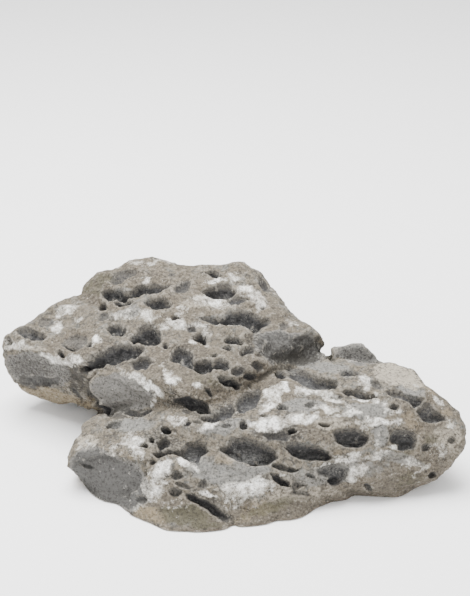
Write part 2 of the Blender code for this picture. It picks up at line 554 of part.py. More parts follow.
def seen_pits(points, facing):
    """The depth of the pits that are seen, and how hollow it is at each point, from 0 to 1.

    A large pit is drawn by its rim. Its upper wall slopes gently, its lower wall is steep, and its floor
    sinks towards the lower wall. A small one is an ellipse. Where pits cross, the deeper one counts.
    """
    picture = wandering(points)
    depth = np.zeros(len(points))
    hollow = np.zeros(len(points))
    for deep, *rim in REAR_PITS + SHOULDER_PITS + FRONT_PITS:
        low, high = np.min(rim, axis=0) - 3, np.max(rim, axis=0) + 3
        near = np.flatnonzero(((picture > low) & (picture < high)).all(axis=1))
        inside = inside_by(picture[near], rim)
        low_down = (2 * picture[near, 1] - low[1] - high[1]) / (high[1] - low[1])
        wall = inside.max(initial=1) * (0.62 - 0.3 * smooth_step(-0.4, 0.7, low_down))
        share = smooth_step(-1.2, wall, inside) * facing[near]
        sunk = deep * share * (0.75 + 0.25 * low_down)
        depth[near] = np.maximum(depth[near], DEEPENING * sunk)
        hollow[near] = np.maximum(hollow[near], np.minimum(1, sunk / HOLLOW_FROM))
    for column, row, half_length, half_width, tilt, deep in SMALL_PITS:
        turn = math.radians(tilt)
        across, down = picture[:, 0] - column, picture[:, 1] - row
        along = (across * math.cos(turn) + down * math.sin(turn)) / half_length
        beside = (down * math.cos(turn) - across * math.sin(turn)) / half_width
        share = pit_share(0.9 * np.hypot(along, beside)) * facing
        depth = np.maximum(depth, DEEPENING * deep * share)
        hollow = np.maximum(hollow, np.minimum(1, deep * share / HOLLOW_FROM))
    return depth, hollow


def broken_faces(points, facing):
    """How deep the stone has split off at each point, and the share of a flat broken face there."""
    picture = wandering(points)
    depth = np.zeros(len(points))
    flat = np.zeros(len(points))
    for deep, edge, *rim in BROKEN_FACES:
        share = smooth_step(-0.5 * edge, edge, inside_by(picture, rim)) * facing
        depth = np.maximum(depth, deep * share)
        flat = np.maximum(flat, share)
    return depth, flat


def parted(points):
    """The gap beside the knob, pressed straight down through the ridge between it and the rear slab."""
    high = smooth_step(42, 56, points[:, 2]) * smooth_step(5, 14, points[:, 1])
    drop = GAP_DEPTH * smooth_step(-1.0, 2.5, inside_by(seen_at(points), GAP)) * high
    return points - drop[:, None] * (0, 0, 1)


def hidden_pits(points, normals, facing):
    """The same for the sides that are hidden: scattered ellipses laid along the beds, from a fixed seed."""
    chance = np.random.default_rng(7)
    depth = np.zeros(len(points))
    hollow = np.zeros(len(points))
    shortest, longest = HIDDEN_PIT_LENGTH
    ragged = 1 + 0.42 * rough(points, 10, 3, 43)
    for anchor in hidden_middles(chance):
        half_length = shortest + (longest - shortest) * chance.random() ** 2.2
        half_width = half_length * chance.uniform(0.35, 0.75)
        deep = min(8.5, half_width * chance.uniform(0.8, 1.5))
        lie = chance.normal(0, 0.2, 3) + (1, 0.15, -0.25)
        middle = np.argmin(np.sum((points - anchor) ** 2, axis=1))
        along_axis = lie - normals[middle] * (lie @ normals[middle])
        along_axis /= np.linalg.norm(along_axis)
        beside_axis = np.cross(normals[middle], along_axis)
        offset = points - points[middle]
        along, beside = offset @ along_axis / half_length, offset @ beside_axis / half_width
        under = offset @ normals[middle] / half_length
        share = pit_share(np.sqrt(along ** 2 + beside ** 2 + under ** 2) * ragged) * (1 - facing)
        depth = np.maximum(depth, deep * share)
        hollow = np.maximum(hollow, np.minimum(1, deep * share / HOLLOW_FROM))
    return depth, hollow


def hidden_middles(chance):
    """Places for the hidden pits on the back, the ends and the underside: rays cut off by the bare stone."""
    rays = chance.normal(0, 1, (HIDDEN_PITS * 4, 3))
    rays /= np.linalg.norm(rays, axis=1)[:, None]
    back = rays @ TOWARDS_EYE < -0.15
    return reach(rays[back][:HIDDEN_PITS] * STRETCH)


def relief(points, normals, hollow, flat, facing):
    """The height of the weathering over the bare stone, in millimetres.

    Broad swells, then cups of two sizes that meet in crests, then layers that show where a face cuts
    across the beds, then pinholes and grain. Hollows are rougher, broken faces are plainer, and the rear
    slab is more rugged than the front one.
    """
    bed = BED_NORMAL / np.linalg.norm(BED_NORMAL)
    cupped = points / SCALLOP_STRETCH
    cut = 1 - np.abs(normals @ bed) ** 2
    along_beds = points / BED_STRETCH + bed * (points @ bed)[:, None] * (1 - 1 / BED_STRETCH)
    rugged = (0.75 + 0.45 * smooth_step(-20, 25, points[:, 1])) * (1 - 0.8 * flat)
    height = (3.0 + 3.0 * (1 - facing)) * rough(points, 38, 3, 3) * (1 - 0.5 * flat)
    height += rugged * (3.2 * scallops(cupped, 14, 5) + 2.2 * scallops(cupped, 6.5, 9) - 1.8)
    height += (0.3 + 2.0 * hollow + 0.4 * cut) * rough(along_beds, 3.4, 2, 17)
    pinholes = 1 - smooth_step(0.0, 0.09, scallops(points, 5.5, 13))
    height -= 1.3 * rugged * pinholes * smooth_step(0, 0.3, rough(points, 24, 2, 19))
    return height + (0.5 + 0.5 * rugged + 0.7 * hollow) * rough(points, 4.5, 2, 11)


def in_sight(points, normals):
    """How far each point of the bare stone faces the eye, from 0 to 1, and the direction to the eye.

    What lies low behind the left foot is hidden, and counts as 0.
    """
    to_eye = (EYE - points) / np.linalg.norm(EYE - points, axis=1)[:, None]
    facing = smooth_step(-0.02, 0.15, np.sum(normals * to_eye, axis=1))
    behind = smooth_step(-12, 5, points[:, 1]) * smooth_step(-125, -112, points[:, 0])
    return facing * (1 - behind * (1 - smooth_step(20, 30, points[:, 2]))), to_eye


def levelled(points, grounded, faces):
    """The foot: flat round its rim, with shallow hollows further in, and nothing below the ground."""
    inner = smooth_step(0.6, 0.98, blurred(grounded[:, None].astype(float), faces, 8)[:, 0])
    lifted = np.clip(12 * lattice_noise(points * (0.67, 1, 0), 40, 21) - 0.6, 0, 5)
    points[:, 2] = np.where(grounded, lifted * inner, np.maximum(points[:, 2], 0))
    return points


def stone_surface(coarse, doublings):
    """The stone's points in millimetres, its faces, and how hollow it is at each point."""
    points, faces = bare_stone(coarse, doublings)
    grounded = points[:, 2] < 0.01
    points = fitted_to_outline(points)
    normals = blurred(normals_of(points, faces), faces, NORMAL_ROUNDS)
    bend = np.linalg.norm(normals, axis=1)
    normals /= bend[:, None]
    facing, to_eye = in_sight(points, normals)
    # Less relief near the ground, and where the bare stone turns so sharply that its walls could meet
    above_foot = smooth_step(0.0, 8.0, points[:, 2]) * smooth_step(0.45, 0.85, bend)
    above_rim = smooth_step(2.0, 14.0, points[:, 2]) * smooth_step(0.45, 0.85, bend)
    depth, hollow = seen_pits(points, facing)
    far_depth, far_hollow = hidden_pits(points, normals, facing)
    depth, hollow = np.maximum(depth, far_depth) * above_rim, np.maximum(hollow, far_hollow) * above_rim
    split, flat = broken_faces(points, facing)
    upslope = np.array([0, 0, 1.0]) - normals * normals[:, 2:]
    inward = 0.8 * normals + (0.2 * facing)[:, None] * to_eye + (UNDERCUT * facing)[:, None] * upslope
    height = (relief(points, normals, hollow, flat, facing) - split) * above_foot
    points = parted(points + normals * height[:, None] - inward * depth[:, None])
    wall = (smooth_step(0.02, 0.3, hollow) * (1 - smooth_step(0.4, 0.9, hollow)))[:, None]
    points = points + 0.6 * wall * (blurred(points, faces, 1) - points)
    points = unfolded(fitted_to_outline(points), faces, UNFOLD_ROUNDS)
    return levelled(points, grounded, faces), faces, hollow


def mesh_object(name, points, faces):
    """A mesh object of that name, with its points given in millimetres."""
    mesh = bpy.data.meshes.new(name)
    mesh.from_pydata((points * MM).tolist(), [], faces.tolist())
    mesh.update()
    thing = bpy.data.objects.new(name, mesh)
    bpy.context.scene.collection.objects.link(thing)
    return thing


def thinned(thing, triangles):
    """Its mesh collapsed to that many triangles, kept where the shape needs them, and its foot levelled."""
    thinner = thing.modifiers.new("thinner", "DECIMATE")
    thinner.ratio = triangles / (2 * len(thing.data.polygons))
    thinner.use_collapse_triangulate = True
    shown = thing.evaluated_get(bpy.context.evaluated_depsgraph_get())
    mesh = bpy.data.meshes.new_from_object(shown)
    thing.modifiers.clear()
    thing.data = mesh
    for vertex in mesh.vertices:
        if vertex.co.z < LEVEL_WITHIN * MM:
            vertex.co.z = 0


def uncrossed(thing):
    """Its mesh smoothed wherever two triangles that share no corner pass through each other."""
    shape = bmesh.new()
    shape.from_mesh(thing.data)
    for _ in range(UNFOLD_ROUNDS):
        shape.faces.ensure_lookup_table()
        tree = BVHTree.FromBMesh(shape)
        crossing = set()
        for one, other in tree.overlap(tree):
            corners = set(shape.faces[one].verts)
            if corners.isdisjoint(shape.faces[other].verts):
                crossing |= corners
        if not crossing:
            break
        bmesh.ops.smooth_vert(
            shape, verts=list(crossing), factor=0.5, use_axis_x=True, use_axis_y=True, use_axis_z=True)
    shape.to_mesh(thing.data)
    shape.free()


def centred(thing):
    """Its mesh moved so that the origin is under the middle of its box."""
    points = np.array([vertex.co for vertex in thing.data.vertices])
    middle = (points.min(axis=0) + points.max(axis=0)) / 2
    for vertex in thing.data.vertices:
        vertex.co.x -= middle[0]
        vertex.co.y -= middle[1]
    thing.data.update()


def limestone():
    """Weathered grey limestone: dull, a little warm."""
    material = bpy.data.materials.new("limestone")
    material.use_nodes = True
    shader = material.node_tree.nodes["Principled BSDF"]
    shader.inputs["Base Color"].default_value = (0.33, 0.31, 0.28, 1)
    shader.inputs["Roughness"].default_value = 0.92
    shader.inputs["Metallic"].default_value = 0
    return material


def main():
    for thing in list(bpy.data.objects):
        bpy.data.objects.remove(thing)
    points, faces, _ = stone_surface(COARSE_STEPS, DOUBLINGS)
    stone = mesh_object("stone", points, faces)
    thinned(stone, SOLID_TRIANGLES)
    uncrossed(stone)
    centred(stone)
    stone.data.materials.append(limestone())


main()
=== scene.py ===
"""A pitted seiryu stone on a pale floor: one weathered piece of grey limestone with chalky crusts.

The stone is a union of rough lobes round one heart, worked out as whole arrays of points. Its corners,
pits and patches of crust are written as the picture column and row where they are seen.
"""

import math

import bmesh
import bpy
import numpy as np
from mathutils import Matrix, Vector


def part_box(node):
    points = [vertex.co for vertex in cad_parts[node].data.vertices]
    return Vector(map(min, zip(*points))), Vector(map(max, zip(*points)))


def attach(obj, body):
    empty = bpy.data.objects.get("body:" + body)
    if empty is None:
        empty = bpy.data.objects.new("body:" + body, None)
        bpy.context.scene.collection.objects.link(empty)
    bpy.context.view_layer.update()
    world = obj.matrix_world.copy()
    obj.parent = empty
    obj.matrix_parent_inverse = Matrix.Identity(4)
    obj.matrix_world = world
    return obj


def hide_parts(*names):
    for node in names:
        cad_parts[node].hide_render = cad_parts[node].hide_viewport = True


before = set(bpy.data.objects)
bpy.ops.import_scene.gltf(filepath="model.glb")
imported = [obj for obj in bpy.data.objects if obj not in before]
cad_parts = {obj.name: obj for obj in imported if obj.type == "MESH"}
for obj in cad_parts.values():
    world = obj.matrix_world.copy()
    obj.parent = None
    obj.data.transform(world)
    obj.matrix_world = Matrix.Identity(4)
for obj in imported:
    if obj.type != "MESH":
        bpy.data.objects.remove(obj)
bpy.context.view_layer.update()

MM = 0.001

# Driving dimensions, in millimetres
STONE_LENGTH = 327.0
HEART = np.array([-12.0, -8.0, 36.0])
CORE_RADIUS = 22.0
KNOB_CORE_RADIUS = 8.0
GROUND_CORNER = 3.0
BELOW_GROUND = 16.0
STRETCH = np.array([160.0, 100.0, 52.0])
EDGE_SOFTNESS = 2.6
VALLEY_SOFTNESS = 3.2

# How the surface's grid is laid out, evened, smoothed and fitted
COARSE_STEPS = 16
DOUBLINGS = 3
NEAR_SIDE_PULL = 1.4
FIRST_EVENING = 60
LATER_EVENING = 18
SLIDE_ROUNDS = 5
NORMAL_ROUNDS = 8
UNFOLD_ROUNDS = 16
FOLD_LIMIT = 0.1
RIM_SECTORS = 480
RIM_ROUNDS = 3

# The stone's beds dip to the right and towards the viewer
BED_NORMAL = np.array([0.25, -0.12, 0.96])
BED_STRETCH = 5.0
CUP_STRETCH = np.array([1.7, 1.3, 1.0])

# The weathering's sizes and spacings, and its heights and depths, in millimetres
SWELL = 38
SWELL_HEIGHT = 3.0
EXTRA_HIDDEN_SWELL = 3.0
CUP = 14
CUP_HEIGHT = 3.2
SMALL_CUP = 6.5
SMALL_CUP_HEIGHT = 2.2
MEAN_CUP_HEIGHT = 1.8
LAYER = 3.4
PINHOLE_SPACING = 5.5
PINHOLE_DEPTH = 1.3
GRAIN = 4.5
FOOT_HOLLOW = 40
FOOT_HOLLOW_DEPTH = 5

# The line of sight that the columns and rows are read along
SIGHT_ELEVATION = math.radians(30)
SIGHT_MIDDLE = np.array([0.0, 0.0, 45.0])
MIDDLE_ROW = 394.0
PICTURE_COLUMN, PICTURE_ROW = 235.0, 298.0
STONE_COLUMNS = 466.0
LENS = 85.0
SENSOR = 36.0
FOCAL_ROWS = LENS / SENSOR * 596
EYE_DISTANCE = STONE_LENGTH / STONE_COLUMNS * FOCAL_ROWS
SIGHT_DIP = SIGHT_ELEVATION - math.atan((MIDDLE_ROW - PICTURE_ROW) / FOCAL_ROWS)
TOWARDS_EYE = np.array([0, -math.cos(SIGHT_ELEVATION), math.sin(SIGHT_ELEVATION)])
EYE = SIGHT_MIDDLE + EYE_DISTANCE * TOWARDS_EYE
AHEAD = np.array([0, math.cos(SIGHT_DIP), -math.sin(SIGHT_DIP)])
ASIDE = np.array([1.0, 0, 0])
UPWARD = np.array([0, math.sin(SIGHT_DIP), math.cos(SIGHT_DIP)])

# Corners of the lobes that are seen: column, row, height in millimetres
REAR_SLAB = (
    (131, 258, 100), (155, 257, 103), (180, 264, 103), (220, 265, 104), (241, 261, 104), (257, 270, 99),
    (270, 288, 92), (290, 312, 85), (312, 325, 80), (325, 345, 64), (100, 270, 95), (83, 285, 88),
    (52, 304, 79), (30, 318, 72), (10, 330, 65), (3, 345, 55), (3, 357, 46), (7, 370, 34), (17, 388, 18),
    (40, 352, 62), (57, 360, 61), (75, 366, 60), (40, 399, 10), (68, 408, 6), (175, 385, 72),
    (235, 372, 76),
)
FRONT_SLAB = (
    (334, 358, 66), (345, 362, 70), (393, 361, 72), (403, 364, 72), (415, 372, 70), (433, 388, 66),
    (447, 399, 60), (457, 410, 54), (467, 437, 40), (460, 458, 27), (443, 473, 16), (425, 484, 9),
    (405, 495, 3), (385, 498, 1), (355, 497, 0), (317, 508, 0), (290, 520, 0), (255, 525, 0),
    (232, 526, 0), (250, 415, 59), (330, 420, 57), (400, 425, 52), (230, 495, 20), (300, 490, 19),
    (370, 478, 16), (430, 465, 18), (150, 425, 46), (200, 425, 54),
)
LEFT_FOOT = (
    (95, 417, 40), (83, 422, 38), (80, 430, 36), (75, 442, 33), (70, 450, 30), (66, 457, 26),
    (66, 464, 22), (80, 480, 12), (96, 498, 4), (113, 503, 1), (130, 512, 0), (148, 461, 34),
    (150, 430, 46), (150, 415, 49),
)
NOSE = (
    (155, 459, 35), (180, 459, 37), (195, 468, 36), (147, 476, 27), (140, 490, 18), (128, 501, 9),
    (131, 513, 2), (150, 524, 0), (170, 530, 0), (190, 532, 0), (215, 530, 0), (232, 526, 0),
    (225, 495, 20),
)
SHOULDER = (
    (83, 383, 55), (90, 374, 62), (98, 365, 66), (110, 363, 68), (135, 365, 70), (84, 390, 48),
    (92, 402, 40), (95, 409, 36), (120, 380, 64), (135, 387, 62), (152, 396, 58), (153, 411, 46),
    (125, 412, 42), (170, 378, 75),
)
KNOB = (
    (334, 350, 62), (335, 343, 67), (358, 339, 71), (364, 340, 70), (372, 350, 63), (380, 360, 56),
    (335, 360, 55),
)

# Corners that the picture hides: across, back and up, in millimetres
REAR_SLAB_BACK = (
    (-122, 100, 6), (-95, 116, 48), (-40, 108, 0), (-18, 119, 52), (22, 96, 0), (44, 94, 56), (66, 58, 8),
    (-160, 68, 22), (-150, 84, 48),
)
LEFT_FOOT_BACK = (
    (-97, 12, 0), (-95, 12, 20), (-107, -26, 2), (-104, -42, 0), (-96, -58, 0), (-84, -74, 0),
)
FRONT_SLAB_BACK = (
    (70, 25, 4), (112, 16, 30), (118, 8, 4), (146, -8, 32), (138, -18, 8),
)
KNOB_BACK = (
    (100, 46, 36), (104, 43, 48), (92, 46, 64), (75, 46, 61), (84, 52, 34), (70, 46, 30), (102, 34, 22),
)
# The foot that carries all the lobes
FOOT_SEEN = (
    (101, 413, 32), (125, 413, 38), (150, 410, 43), (104, 440, 8), (100, 494, 2), (131, 508, 0),
    (190, 527, 0), (317, 503, 0), (385, 493, 1), (430, 478, 10), (455, 440, 30), (250, 440, 42),
    (380, 420, 40), (170, 400, 40),
)
FOOT_BACK = (
    (-108, 40, 0), (-106, 44, 22), (-116, 66, 0), (-112, 82, 0), (-100, 96, 20), (-40, 102, 0),
    (25, 92, 0), (60, 60, 0), (96, 22, 0), (124, -8, 0), (78, 46, 30), (68, 24, 54), (40, 70, 50),
    (-60, 90, 60),
)

# The stone's outline as it is seen, clockwise from its left tip: column, row
OUTLINE_MIDDLE = (240, 380)
OUTLINE = (
    (2, 351), (3, 337), (6, 333), (12, 329), (20, 326), (30, 320), (40, 314), (52, 304), (68, 297),
    (79, 294), (81, 290), (86, 282), (90, 279), (98, 271), (103, 270), (116, 268), (119, 266), (130, 260),
    (131, 258), (137, 259), (154, 257), (160, 259), (170, 261), (180, 264), (190, 266), (222, 265),
    (232, 262), (240, 261), (246, 263), (250, 267), (258, 270), (262, 273), (270, 285), (276, 291),
    (281, 298), (290, 311), (300, 320), (310, 325), (316, 330), (321, 335), (325, 346), (336, 347),
    (347, 344), (361, 342), (370, 350), (380, 361), (393, 361), (398, 363), (411, 368), (418, 374),
    (422, 380), (434, 390), (443, 396), (452, 404), (460, 412), (466, 426), (467, 434), (465, 448),
    (461, 455), (456, 459), (455, 463), (444, 473), (440, 479), (430, 483), (414, 489), (406, 495),
    (397, 498), (368, 496), (353, 496), (347, 500), (332, 502), (317, 508), (303, 517), (297, 519),
    (276, 521), (268, 524), (240, 527), (232, 525), (227, 529), (215, 531), (190, 532), (165, 530),
    (150, 523), (133, 516), (120, 506), (113, 503), (106, 502), (95, 497), (87, 489), (82, 482),
    (72, 471), (66, 466), (66, 463), (69, 460), (66, 456), (67, 452), (71, 449), (73, 443), (81, 431),
    (80, 427), (82, 423), (88, 419), (96, 415), (94, 410), (80, 406), (68, 408), (50, 403), (30, 395),
    (17, 388), (10, 376), (5, 368),
)

# Large pits that are seen: depth in millimetres, then the rim's columns and rows, clockwise
REAR_PITS = (
    (7, (100, 291), (105, 286), (120, 286), (129, 289), (144, 286), (160, 282), (174, 283), (169, 288),
     (160, 292), (152, 295), (138, 297), (129, 296), (124, 298), (108, 299), (102, 296)),
    (7.5, (114, 302), (120, 298), (129, 298), (133, 302), (129, 305), (122, 307), (116, 305)),
    (7, (144, 302), (151, 298), (160, 298), (168, 300), (172, 304), (169, 309), (160, 311), (152, 308),
     (147, 305)),
    (6.5, (106, 329), (110, 324), (118, 322), (126, 326), (125, 331), (120, 335), (112, 334)),
    (9.5, (129, 338), (133, 332), (142, 325), (154, 324), (162, 331), (162, 340), (156, 346), (146, 345),
     (140, 342), (133, 343)),
    (9, (91, 357), (103, 350), (109, 345), (119, 342), (129, 342), (143, 346), (145, 349), (141, 354),
     (136, 360), (126, 362), (114, 364), (106, 363), (99, 366), (93, 369), (84, 374), (79, 369), (84, 361)),
    (6, (129, 364), (140, 358), (148, 357), (155, 363), (149, 365), (146, 370), (138, 370)),
    (8, (171, 350), (178, 346), (188, 348), (194, 353), (192, 362), (188, 365), (180, 362), (170, 359)),
    (9, (188, 365), (193, 359), (204, 357), (214, 360), (220, 357), (229, 362), (230, 368), (224, 369),
     (214, 368), (210, 371), (198, 371)),
    (7.5, (192, 335), (198, 330), (204, 331), (207, 336), (204, 340), (198, 338)),
    (7, (224, 338), (228, 333), (236, 336), (242, 341), (240, 344), (232, 342)),
    (8, (195, 314), (208, 314), (220, 314), (228, 310), (240, 307), (256, 310), (269, 315), (272, 320),
     (262, 325), (261, 331), (253, 333), (246, 328), (237, 324), (228, 324), (216, 323), (200, 319)),
    (7, (201, 289), (208, 285), (220, 283), (230, 283), (237, 288), (235, 293), (226, 296), (216, 296),
     (206, 294)),
    (5, (227, 298), (234, 294), (242, 295), (250, 298), (240, 301), (238, 304), (231, 303)),
    (6.5, (206, 271), (211, 269), (217, 271), (220, 275), (218, 277), (212, 276)),
    (7, (216, 376), (224, 375), (234, 379), (241, 385), (238, 388), (228, 386), (220, 381)),
    (5, (239, 350), (248, 345), (255, 347), (252, 352), (242, 354)),
    (5, (18, 329), (23, 327), (33, 328), (41, 331), (46, 334), (43, 338), (34, 339), (26, 337), (19, 333)),
    (2.6, (61, 339), (69, 333), (77, 331), (87, 334), (89, 343), (84, 349), (74, 351), (66, 347)),
    (5.5, (61, 340), (67, 343), (73, 346), (74, 349), (69, 349), (64, 344)),
    (2.2, (19, 378), (29, 376), (37, 377), (46, 379), (53, 377), (56, 381), (54, 385), (46, 387),
     (31, 386), (21, 384)),
    (4, (67, 388), (74, 390), (83, 399), (81, 402), (71, 397)),
)
SHOULDER_PITS = (
    (7.5, (173, 398), (178, 396), (190, 395), (200, 399), (208, 405), (211, 413), (204, 414), (192, 410),
     (180, 404), (174, 401)),
    (6.5, (236, 404), (238, 398), (246, 391), (258, 387), (263, 390), (260, 398), (254, 406), (242, 411),
     (237, 409)),
    (6, (214, 412), (220, 406), (230, 405), (236, 409), (230, 415), (222, 418), (212, 421), (202, 420),
     (198, 417), (208, 415)),
    (5, (124, 411), (129, 409), (140, 412), (151, 409), (152, 412), (146, 415), (134, 416), (125, 414)),
    (5, (103, 411), (109, 411), (113, 415), (109, 418), (105, 415)),
    (4, (103, 427), (112, 422), (120, 421), (118, 427), (108, 429)),
)
FRONT_PITS = (
    (6.5, (284, 373), (287, 369), (298, 367), (310, 371), (320, 377), (330, 379), (338, 380), (336, 386),
     (324, 387), (310, 386), (300, 382), (294, 379)),
    (5.5, (340, 374), (345, 370), (352, 369), (359, 371), (358, 375), (350, 377), (342, 376)),
    (5.5, (343, 391), (348, 388), (358, 388), (366, 392), (377, 395), (378, 397), (366, 398), (354, 396),
     (346, 394)),
    (4.5, (386, 391), (396, 389), (404, 393), (414, 396), (423, 400), (420, 407), (414, 408), (410, 403),
     (400, 399), (390, 396)),
    (4.5, (416, 412), (422, 402), (430, 402), (438, 412), (446, 421), (436, 422), (424, 421)),
    (7, (332, 431), (340, 428), (352, 427), (364, 431), (371, 437), (368, 443), (363, 447), (348, 447),
     (338, 443)),
    (5, (389, 437), (394, 430), (406, 428), (416, 433), (418, 440), (414, 449), (404, 448), (392, 444)),
    (8.5, (216, 449), (226, 444), (230, 437), (244, 435), (260, 440), (276, 449), (278, 457), (268, 464),
     (252, 465), (240, 461), (230, 456), (220, 452)),
    (7, (286, 443), (296, 441), (308, 443), (320, 447), (329, 452), (332, 458), (328, 461), (314, 461),
     (300, 459), (290, 453), (284, 448)),
    (3, (262, 434), (272, 430), (286, 430), (294, 432), (290, 437), (286, 441), (276, 441), (266, 439)),
    (3.5, (270, 463), (280, 463), (290, 467), (299, 470), (292, 472), (280, 470), (272, 467)),
    (7, (271, 473), (277, 474), (284, 479), (289, 482), (288, 486), (280, 484), (273, 478)),
    (2.5, (290, 485), (296, 481), (306, 485), (300, 488), (294, 490)),
    (4, (316, 468), (332, 461), (344, 464), (350, 469), (348, 479), (338, 485), (331, 484), (328, 477),
     (318, 475)),
    (7, (152, 453), (160, 450), (172, 451), (180, 450), (188, 442), (200, 440), (206, 446), (208, 451),
     (200, 457), (198, 462), (188, 461), (180, 458), (168, 456), (156, 457)),
    (4.5, (158, 442), (164, 439), (170, 443), (169, 448), (160, 449)),
    (8, (186, 494), (192, 493), (204, 500), (220, 510), (230, 517), (231, 523), (224, 520), (210, 511),
     (196, 503), (188, 499)),
)
# Small pits that are seen: column, row, half length, half width, tilt in degrees, depth in millimetres.
# A positive tilt runs down to the right.
SMALL_PITS = (
    (7, 341, 6, 3.5, -60, 2.5), (59, 353, 2.8, 3.6, 0, 4), (101, 306, 5, 4.4, 0, 5),
    (103, 317, 6, 4, -30, 2), (90, 347, 2.6, 3.4, 0, 4), (176, 318, 4.8, 2.8, 0, 5),
    (192, 326, 5, 3.4, -20, 3), (227, 347, 5.5, 3.2, 10, 4), (214, 354, 3.4, 2.6, 20, 4),
    (165, 345, 3, 3.4, 0, 4), (209, 393, 6, 2.4, 50, 3), (238, 371, 7, 4.2, -15, 3.5),
    (250, 376, 6, 3.6, 0, 4), (281, 375, 6, 4.6, 0, 6), (124, 276, 15, 4.6, -18, 2.4),
    (182, 287, 9, 5, -20, 2.5), (171, 272, 3, 1.8, 0, 2), (264, 305, 3, 2.4, 0, 3),
    (257, 366, 6.5, 3.2, 20, 3), (264, 284, 8, 2.8, 48, 3), (284, 325, 5, 4, 0, 2),
    (32, 316, 5, 2, -30, 1.5), (46, 322, 8, 5, -20, 1.6), (376, 384, 9, 4, 24, 2.2),
    (415, 404, 5, 3.6, 5, 5), (394, 407, 5, 2.8, 0, 3), (336, 396, 7, 3, 0, 2.6),
    (312, 403, 7, 3, -5, 2.4), (282, 406, 6, 3.4, 15, 3), (264, 415, 4, 2.2, 20, 2.4),
    (325, 424, 6, 3, 10, 2.6), (244, 424, 4.6, 6, 0, 5), (292, 431, 3.6, 3.4, 0, 6),
    (403, 447, 6, 3.6, 0, 4), (334, 481, 6, 4.5, 0, 5), (369, 488, 6, 2.6, 55, 4),
    (152, 440, 3.4, 3, 0, 5), (143, 445, 4.4, 2.6, 5, 5), (166, 431, 5.4, 3.4, 36, 5),
    (187, 424, 5, 2.8, -20, 4), (197, 422, 5, 2.2, 10, 3), (87, 466, 7, 2.2, 20, 1.6),
    (153, 462, 3.6, 2.6, 0, 2), (177, 475, 6.4, 4.8, 0, 2.2), (166, 475, 3.6, 3, 0, 1.6),
    (175, 492, 7, 4.6, 5, 2.6), (142, 500, 6, 4, 0, 2), (203, 484, 5, 5, 0, 1.8),
    (183, 485, 9, 3, 15, 1.8), (432, 475, 5, 3, -30, 3), (427, 447, 6, 4, 0, 2),
    (300, 493, 12, 3, 5, 1.2), (227, 425, 5, 3, 0, 1.5), (452, 440, 5, 4, 0, 2),
    (310, 475, 5, 2.4, 10, 2),
)
# Flat broken faces and one broad hollow that are seen: depth in millimetres, width of the edge in columns,
# then the rim
BROKEN_FACES = (
    (1.6, 1.5, (85, 381), (94, 371), (100, 376), (109, 376), (119, 381), (129, 389), (143, 393),
     (151, 399), (153, 410), (140, 411), (124, 411), (109, 411), (99, 411), (93, 404), (84, 393)),
    (2.2, 1.5, (66, 462), (86, 459), (100, 455), (112, 455), (126, 460), (146, 461), (148, 474),
     (140, 488), (128, 498), (126, 512), (106, 506), (94, 500), (80, 486), (68, 472)),
    (1.2, 1.5, (330, 345), (358, 338), (366, 340), (384, 362), (330, 364)),
    (5, 7, (272, 333), (282, 330), (296, 333), (309, 332), (320, 338), (328, 345), (325, 354), (318, 361),
     (306, 363), (290, 366), (278, 365), (260, 358), (250, 352), (260, 347), (268, 340)),
    (1.0, 4, (2, 360), (14, 352), (30, 351), (42, 355), (56, 363), (60, 374), (54, 378), (36, 377),
     (18, 378), (5, 372)),
)
# The gap that parts the knob from the rear slab, and how far it is sunk
GAP = ((324, 340), (334, 340), (334, 360), (330, 361), (326, 352))
GAP_DEPTH = 12.0

# How pits are cut: how much deeper than written, the depth in millimetres that counts as wholly hollow, how
# far they slant down under the lower rim, how far a wall reaches towards the middle and how much less low
# down, and how far their rims wander in pixels
DEEPENING = 1.6
HOLLOW_FROM = 7.0
UNDERCUT = 0.3
WALL_REACH = 0.62
LOW_WALL_LESS = 0.3
RIM_WANDER = 2.4

# Pits on the sides that the picture hides: how many, their least and most half length and most depth in
# millimetres, and the direction that they lie along
HIDDEN_PITS = 260
HIDDEN_PIT_LENGTH = (3.5, 15.0)
HIDDEN_PIT_DEPTH = 8.5
HIDDEN_PIT_LIE = (1, 0.15, -0.25)


def spot(column, row, height):
    """The point at that height which is seen at a column and row: the sight line cut by a level plane."""
    line = AHEAD + ASIDE * (column - PICTURE_COLUMN) / FOCAL_ROWS + UPWARD * (PICTURE_ROW - row) / FOCAL_ROWS
    return EYE + line * (height - EYE[2]) / line[2]


def seen_at(points):
    """The column and row where each point is seen: its offset across the sight line over its distance."""
    offset = points - EYE
    away = offset @ AHEAD
    return np.stack([
        PICTURE_COLUMN + FOCAL_ROWS * (offset @ ASIDE) / away,
        PICTURE_ROW - FOCAL_ROWS * (offset @ UPWARD) / away,
    ], axis=1)


def to_the_eye(points):
    """The unit direction from each point to the eye."""
    return (EYE - points) / np.linalg.norm(EYE - points, axis=1)[:, None]


def ellipse_distance(picture, column, row, half_length, half_width, tilt):
    """How far each point lies from the middle of a tilted ellipse, with its rim at 1."""
    turn = math.radians(tilt)
    across, down = picture[:, 0] - column, picture[:, 1] - row
    along = (across * math.cos(turn) + down * math.sin(turn)) / half_length
    beside = (down * math.cos(turn) - across * math.sin(turn)) / half_width
    return np.hypot(along, beside)


def smooth_step(low, high, value):
    """0 up to low, 1 from high, and 3t^2 - 2t^3 between them."""
    t = np.clip((value - low) / (high - low), 0, 1)
    return t * t * (3 - 2 * t)


def hashed(cell, seed):
    """Three numbers from 0 to 255 for each cell of a lattice: its place times large odd factors, mixed."""
    code = (cell[:, 0] * 73856093) ^ (cell[:, 1] * 19349663) ^ (cell[:, 2] * 83492791) ^ (seed * 2654435761)
    code = (code ^ (code >> 15)) * 2246822519 & 0xFFFFFFFF
    code = (code ^ (code >> 13)) * 3266489917 & 0xFFFFFFFF
    return np.stack([code >> shift & 255 for shift in (0, 8, 16)], axis=1)


